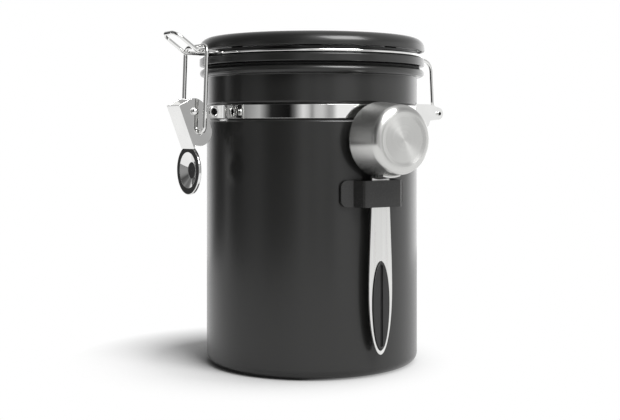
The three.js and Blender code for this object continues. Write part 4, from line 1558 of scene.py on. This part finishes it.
@dataclass
class Scoop(Assembly):
    """Spun bowl, flat handle with a saddle under the bowl, and the handle's moulded insert. Sizes in mm."""

    plane: float = 65.2
    centre: float = 125.6
    rim: float = 19.7
    rim_height: float = 1.0
    mouth: float = 19.6
    bottom: float = 17.8
    depth: float = 21.4
    corner: float = 4.4
    panel: float = 12.4
    panel_depth: float = 0.3
    wall: float = 0.9
    handle_thickness: float = 1.2
    neck: float = 5.6
    widest: float = 7.4
    widest_rise: float = 46.7
    handle_base: float = 12.8
    saddle_length: float = 10.8
    saddle_sheet: float = 1.0
    insert_rim: float = 1.8
    insert_foot: float = 2.2
    insert_height: float = 46.8
    insert_middle: float = 27.2
    insert_thickness: float = 1.9
    slit: float = 0.8
    slit_depth: float = 1.3
    slit_margin: float = 1.8
    handle_edge: float = 0.22
    insert_edge: float = 0.35

    def build(self) -> None:
        """Makes the scoop's three pieces."""
        for piece, finish, slot, node in (
                (self.bowl(), self.wardrobe.spun, "steel", "scoop_bowl"),
                (self.handle(), self.wardrobe.steel, "steel", "scoop_handle"),
                (self.insert(), self.wardrobe.grip, "grip_plastic", "handle_insert")):
            Bench.place(piece, Side.SCOOP.turn())
            if piece.name == "scoop_bowl_spun":
                Bench.polar_map(piece, (0, 0, self.centre * MM), Vector((0, -1, 0)))
            hand_over(piece, finish, "scoop", slot, node)

    def bowl(self) -> Piece:
        """Makes the bowl, its mouth towards the canister.

        Returns:
            The bowl.
        """
        end = self.plane + self.depth
        floor, inside = end - self.panel_depth, end - self.wall - self.panel_depth
        rings = (0.3, 2.5, 5.0, 7.5, 10.5)
        core = self.corner - self.wall
        outer = rounded([
            (rings[-1], floor, 0), (self.panel - 0.6, floor, 2.5), (self.panel + 1.4, end, 2.5),
            (self.bottom, end, self.corner - 0.05), (self.rim, self.plane + self.rim_height, 0.5),
            (self.rim, self.plane, 0.4), (self.mouth - self.wall, self.plane, 0.4),
            (self.bottom - self.wall, end - self.wall, core), (self.panel + 0.4, end - self.wall, 0.3),
            (self.panel, inside, 0.3), (rings[-1], inside, 0)])
        profile = [(r * MM, floor * MM) for r in rings[:-1]] + outer
        profile += [(r * MM, inside * MM) for r in reversed(rings[:-1])]
        bowl = Bench.turned("scoop_bowl_spun", profile, FACETS)
        return Bench.place(bowl, outward_axis(0, self.centre))

    def handle_outline(self) -> list[Flat]:
        """Gives the handle's outline in millimetres, seen from outside: a tapered neck and a long half oval.

        Returns:
            The points, from the neck's right side round the foot.
        """
        top, rise, half = self.centre - self.rim + GAP, self.widest_rise, self.widest
        pull = (top - rise) / 3
        right = bezier((self.neck, top), (self.neck, top - pull), (half, rise + pull), (half, rise), 20)
        foot = [(x * half, rise + y * (rise - self.handle_base)) for x, y in arc(0, 0, 1, 0, -180, 64)]
        left = [(-x, z) for x, z in reversed(right)]
        return right + foot[1:-1] + left

    def insert_outline(self, margin: float) -> list[Flat]:
        """Gives the long oval of the handle's window, drawn in by a margin, in millimetres.

        Args:
            margin: How far it is drawn in.

        Returns:
            The points.
        """
        half = self.widest - self.insert_rim - margin
        middle = self.handle_base + self.insert_middle
        below = self.insert_middle - self.insert_foot - margin
        above = self.insert_foot + self.insert_height - self.insert_middle - margin
        circle = arc(0, 0, 1, 180, 540, MEDIUM)[1:]
        return [(x * half, middle + y * (below if y < 0 else above)) for x, y in circle]

    def facing(self, name: str, outline: Sequence[Flat], low: float, high: float) -> Piece:
        """Cuts a plate that faces outwards, all sizes in millimetres."""
        return Bench.plate(name, [(y * MM, z * MM) for y, z in outline], low * MM, high * MM, Lie.FACING)

    def handle(self) -> Piece:
        """Makes the handle and joins its saddle.

        Returns:
            The handle.
        """
        root, start = self.rim + GAP, self.mouth + GAP
        step, far = self.plane + self.rim_height, self.plane + self.saddle_length
        taper = (self.mouth - self.bottom) / (self.depth - self.corner - self.rim_height)
        shrink, sheet = (far - step) * taper, self.saddle_sheet
        saddle = Bench.turned("saddle", rounded([
            (root, self.plane, 0), (root + sheet, self.plane, 0), (root + sheet, step, 0.5),
            (start - shrink + sheet, far, 0.3), (start - shrink, far, 0.3), (start, step + GAP, 0),
            (root, step, 0)]), FACETS, ring=True)
        Bench.place(saddle, outward_axis(0, self.centre))
        low = self.centre - self.rim - sheet * 2
        strip = block("strip", (self.plane - REACH, -self.neck, low),
                      (far + REACH, self.neck, self.centre - self.rim / 2))
        Bench.boolean(saddle, [strip], Join.TRIM)
        front = self.plane + self.handle_thickness
        handle = self.facing("scoop_handle_blade", self.handle_outline(), self.plane, front)
        window = self.facing("window", self.insert_outline(0.0), self.plane - REACH, front + REACH)
        under = upright("under", root + sheet / 2, self.plane - REACH, far, facets=FACETS)
        Bench.place(under, outward_axis(0, self.centre))
        Bench.boolean(handle, [under, window], Join.CUT)
        Bench.soften(handle, self.handle_edge * MM)
        Bench.boolean(handle, [saddle], Join.ADD)
        return Bench.smooth(handle, SHEET_SMOOTH)

    def insert(self) -> Piece:
        """Makes the moulded insert with soft edges and a shallow slit along it.

        Returns:
            The insert.
        """
        front = self.plane + self.insert_thickness
        insert = self.facing("handle_insert_grip", self.insert_outline(GAP), self.plane, front)
        low = self.handle_base + self.insert_foot + self.slit_margin + self.slit
        high = self.handle_base + self.insert_foot + self.insert_height - self.slit_margin - self.slit
        outline = [*arc(0, low, self.slit, 180, 360, 12), *arc(0, high, self.slit, 0, 180, 12)]
        slit = self.facing("slit", outline, front - self.slit_depth, front + REACH)
        Bench.boolean(insert, [slit], Join.CUT)
        return Bench.soften(insert, self.insert_edge * MM, 3)


@dataclass
class ScoopClip(Assembly):
    """Strap clip that holds the handle: two pads on the body and a flat bulge between them. Sizes in mm."""

    pad_radius: float = 61.2
    front: float = 67.7
    base: float = 90.2
    height: float = 14.0
    sheet: float = 1.2
    half_span: float = 20.2
    corner: float = 3.5
    front_half: float = 12.0
    shoulder: float = 1.6
    edge: float = 0.3

    def strip(self, offset: float) -> list[tuple[float, float, float]]:
        """Gives one side of the strap, bottom to top, with the radius of each bend.

        Args:
            offset: Distance from the strap's inner side.

        Returns:
            Place and bend radius of each corner, in millimetres.
        """
        radius, front = self.pad_radius + offset, self.front + offset
        side = self.front_half - self.sheet + offset
        end = math.degrees(math.asin((self.half_span + 2) / radius))
        foot = math.degrees(math.asin((side + self.shoulder) / radius))
        first = [(x, y, 0.0) for x, y in arc(0, 0, radius, -end, -foot, 16)]
        first[-1] = (*first[-1][:2], 1.2 - offset / 2)
        last = [(x, -y, bend) for x, y, bend in reversed(first)]
        turn = 0.9 + offset * 0.8
        return [*first, (front, -side, turn), (front, side, turn), *last]

    def build(self) -> None:
        """Makes the clip and dresses the tape behind it."""
        corners = [*self.strip(self.sheet), *reversed(self.strip(0.0))]
        outline = rounded(corners, closed=True)
        clip = Bench.plate("scoop_clip_strap", outline, self.base * MM, (self.base + self.height) * MM)
        half, low, high, corner = self.half_span, self.base, self.base + self.height, self.corner
        face = rounded([(half, low, corner), (half, high, corner),
                        (-half, high, corner), (-half, low, corner)], closed=True)
        back, front = self.pad_radius / 2 * MM, (self.front + self.sheet + REACH) * MM
        Bench.boolean(clip, [Bench.plate("face", face, back, front, Lie.FACING)], Join.TRIM)
        Bench.soften(clip, self.edge * MM, 3)
        Bench.place(clip, Side.SCOOP.turn())
        hand_over(clip, self.wardrobe.clip, "canister", "clip_plastic", "scoop_clip")
        for word in ("left", "right"):
            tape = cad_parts[f"clip_tape_{word}"]
            for slot in tape.material_slots:
                slot.material = self.wardrobe.foam
            log.info("clip_tape_%s: foam", word)


@dataclass
class Studio:
    """Pale floor, soft light all round and the camera at the photograph's place."""

    LOW: ClassVar[tuple[Flat, ...]] = (
        (-180, 0.45), (-171, 0.10), (-167, 0.02), (-146, 0.006), (-141, 0.15), (-137, 0.45),
        (-132, 0.85), (-126, 0.6), (-123, 0.25), (-119, 0.6), (-112, 0.65), (-105, 0.35), (-101, 0.45),
        (-96, 1.0), (-78, 1.0), (-72, 0.45), (-59, 0.45), (-54, 0.95), (0, 1.0), (14, 1.7), (46, 1.7),
        (60, 1.3), (92, 1.3), (102, 0.5), (110, 0.04), (127, 0.03), (132, 0.75), (136, 0.75), (142, 0.05),
        (155, 0.03), (160, 0.25), (180, 0.50))
    HIGH: ClassVar[tuple[Flat, ...]] = (
        (-180, 0.06), (-140, 0.08), (-125, 0.6), (-110, 1.35), (-78, 1.35), (-64, 0.35), (-46, 0.35),
        (0, 0.6), (60, 0.6), (120, 0.2), (180, 0.06))

    camera_spot: Spot = (-0.3475, -0.5351, 0.1305)
    azimuth: float = -33.0
    lens: float = 64.57
    shift: Flat = (-0.003, -0.129)
    floor_size: float = 1.0
    floor_drop: float = 0.0003
    floor_glow: float = 0.01
    # Reach in metres of the ambient occlusion that darkens the paper's colour: a painted contact shadow.
    contact: float = 0.11
    floor_fade: Flat = (0.06, 0.11)
    shade_spot: Spot = (-0.025, 0.016, 0.0)
    horizon: Flat = (0.14, 0.42)
    sky: float = 1.0
    key_spot: Spot = (0.06, -0.78, 0.92)
    key_size: float = 0.62
    key_power: float = 14.0

    def build(self) -> None:
        """Sets up the whole studio."""
        bpy.context.scene.view_settings.view_transform = "Standard"
        self.camera()
        self.floor()
        self.world()
        self.lamps()

    def camera(self) -> None:
        """Makes the camera and gives it to the scene."""
        Bench.clear()
        turn = (math.pi / 2, 0, math.radians(self.azimuth))
        bpy.ops.object.camera_add(location=self.camera_spot, rotation=turn)
        camera = bpy.context.object
        camera.data.lens = self.lens
        camera.data.sensor_width = 36.0
        camera.data.shift_x, camera.data.shift_y = self.shift
        camera.data.dof.use_dof = False
        bpy.context.scene.camera = camera

    def floor(self) -> None:
        """Lays the pale floor, which keeps the shadow; near the object its colour is darkened by ambient
        occlusion, a painted contact shadow.
        """
        Bench.clear()
        bpy.ops.mesh.primitive_plane_add(size=self.floor_size, location=(0, 0, -self.floor_drop))
        floor = bpy.context.object
        floor.name = "studio_floor"
        recipe = Recipe("studio_paper")
        recipe.set(Roughness=0.9, Specular_IOR_Level=0.0)
        recipe.tint(recipe.noise(3), (0.86, 0.86, 0.86), (0.88, 0.88, 0.88))
        # Ambient occlusion darkens the paper's colour near the object: a painted contact shadow on top of the
        # cast one.
        near = recipe.add("AmbientOcclusion", Distance=self.contact)
        paper = recipe.add("BsdfDiffuse", Color=near.outputs["Color"])
        glow = recipe.add("Emission", Strength=self.floor_glow)
        white = recipe.add("Emission", Strength=1.0)
        for source in (near, glow, white):
            source.inputs["Color"].default_value = (1, 1, 1, 1)
        lit = recipe.add("AddShader")
        recipe.link(paper.outputs[0], lit.inputs[0])
        recipe.link(glow.outputs[0], lit.inputs[1])
        reach = recipe.add("VectorMath", Vector=recipe.add("TexCoord").outputs["Object"])
        reach.operation = "DISTANCE"
        reach.inputs[1].default_value = self.shade_spot
        faded = recipe.mixed(recipe.span(reach.outputs["Value"], 0.0, 1.0, *self.floor_fade), lit, white)
        rays = recipe.add("LightPath").outputs
        seen = recipe.add("Math")
        seen.operation = "MAXIMUM"
        for index, kind in enumerate(("Is Camera Ray", "Is Glossy Ray")):
            recipe.link(rays[kind], seen.inputs[index])
        seen = recipe.mixed(seen.outputs[0], recipe.shader, faded)
        recipe.link(seen.outputs[0], recipe.tree.nodes["Material Output"].inputs["Surface"])
        floor.data.materials.append(recipe.material)

    def world(self) -> None:
        """Makes the sky: white to the camera, and to the object a soft studio with dark gaps."""
        world = bpy.data.worlds.new("studio_light")
        bpy.context.scene.world = world
        world.use_nodes = True
        world.node_tree.nodes.clear()
        sky = Nodes(world.node_tree)
        split = sky.add("SeparateXYZ", Vector=sky.add("TexCoord").outputs["Generated"])
        turn = sky.add("Math")
        turn.operation = "ARCTAN2"
        for index, axis in enumerate("YX"):
            sky.link(split.outputs[axis], turn.inputs[index])
        around = sky.span(turn.outputs[0], 0.0, 1.0, -math.pi, math.pi)
        height = sky.span(split.outputs["Z"], 0.0, 1.0, *self.horizon)
        blend = sky.add("Mix")
        blend.data_type = "RGBA"
        sky.link(height, blend.inputs["Factor"])
        for stops, socket in ((self.LOW, "A"), (self.HIGH, "B")):
            sky.link(self.panorama(sky, around, stops), blend.inputs[socket])
        scenery = sky.add("Background", Color=blend.outputs["Result"], Strength=self.sky)
        white = sky.add("Background", Color=(1, 1, 1, 1))
        mix = sky.mixed(sky.add("LightPath").outputs["Is Camera Ray"], scenery, white)
        sky.link(mix.outputs[0], sky.add("OutputWorld").inputs["Surface"])

    @staticmethod
    def panorama(sky: Nodes, turn: Socket, stops: Sequence[Flat]) -> Socket:
        """Gives the studio's brightness round the object.

        Args:
            sky: The world's nodes.
            turn: Share of a full turn from -X over -Y.
            stops: Direction in degrees about Z and level there, in order from -180.

        Returns:
            The brightness socket.
        """
        ramp = sky.add("ValToRGB", Fac=turn)
        elements = ramp.color_ramp.elements
        elements[0].position, elements[1].position = 0.0, 1.0
        for index, level in ((0, stops[0][1]), (1, stops[-1][1])):
            elements[index].color = (level, level, level, 1)
        for angle, level in stops[1:-1]:
            elements.new((angle + 180) / 360).color = (level, level, level, 1)
        return ramp.outputs["Color"]

    def lamps(self) -> None:
        """Hangs the soft key light in front, above and to the right."""
        Bench.clear()
        spot = Vector(self.key_spot)
        bpy.ops.object.light_add(type="AREA", location=spot)
        lamp = bpy.context.object
        lamp.name = "key_light"
        lamp.data.energy = self.key_power
        lamp.data.size = self.key_size
        lamp.rotation_euler = (Vector((0, 0, 0.12)) - spot).to_track_quat("-Z", "Y").to_euler()


def main() -> None:
    """Builds the sub-assemblies and the studio, and logs each piece's face count."""
    logging.basicConfig(level=logging.INFO, format="%(name)s %(message)s")
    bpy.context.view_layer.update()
    wardrobe = Wardrobe()
    for assembly in (CanisterBody, NeckBand, Clasp, HingeSide, Lid, LidTop, Valve, Scoop, ScoopClip):
        log.info("building %s", assembly.__name__)
        assembly(wardrobe).build()
    Studio().build()


if __name__ == "__main__":
    main()
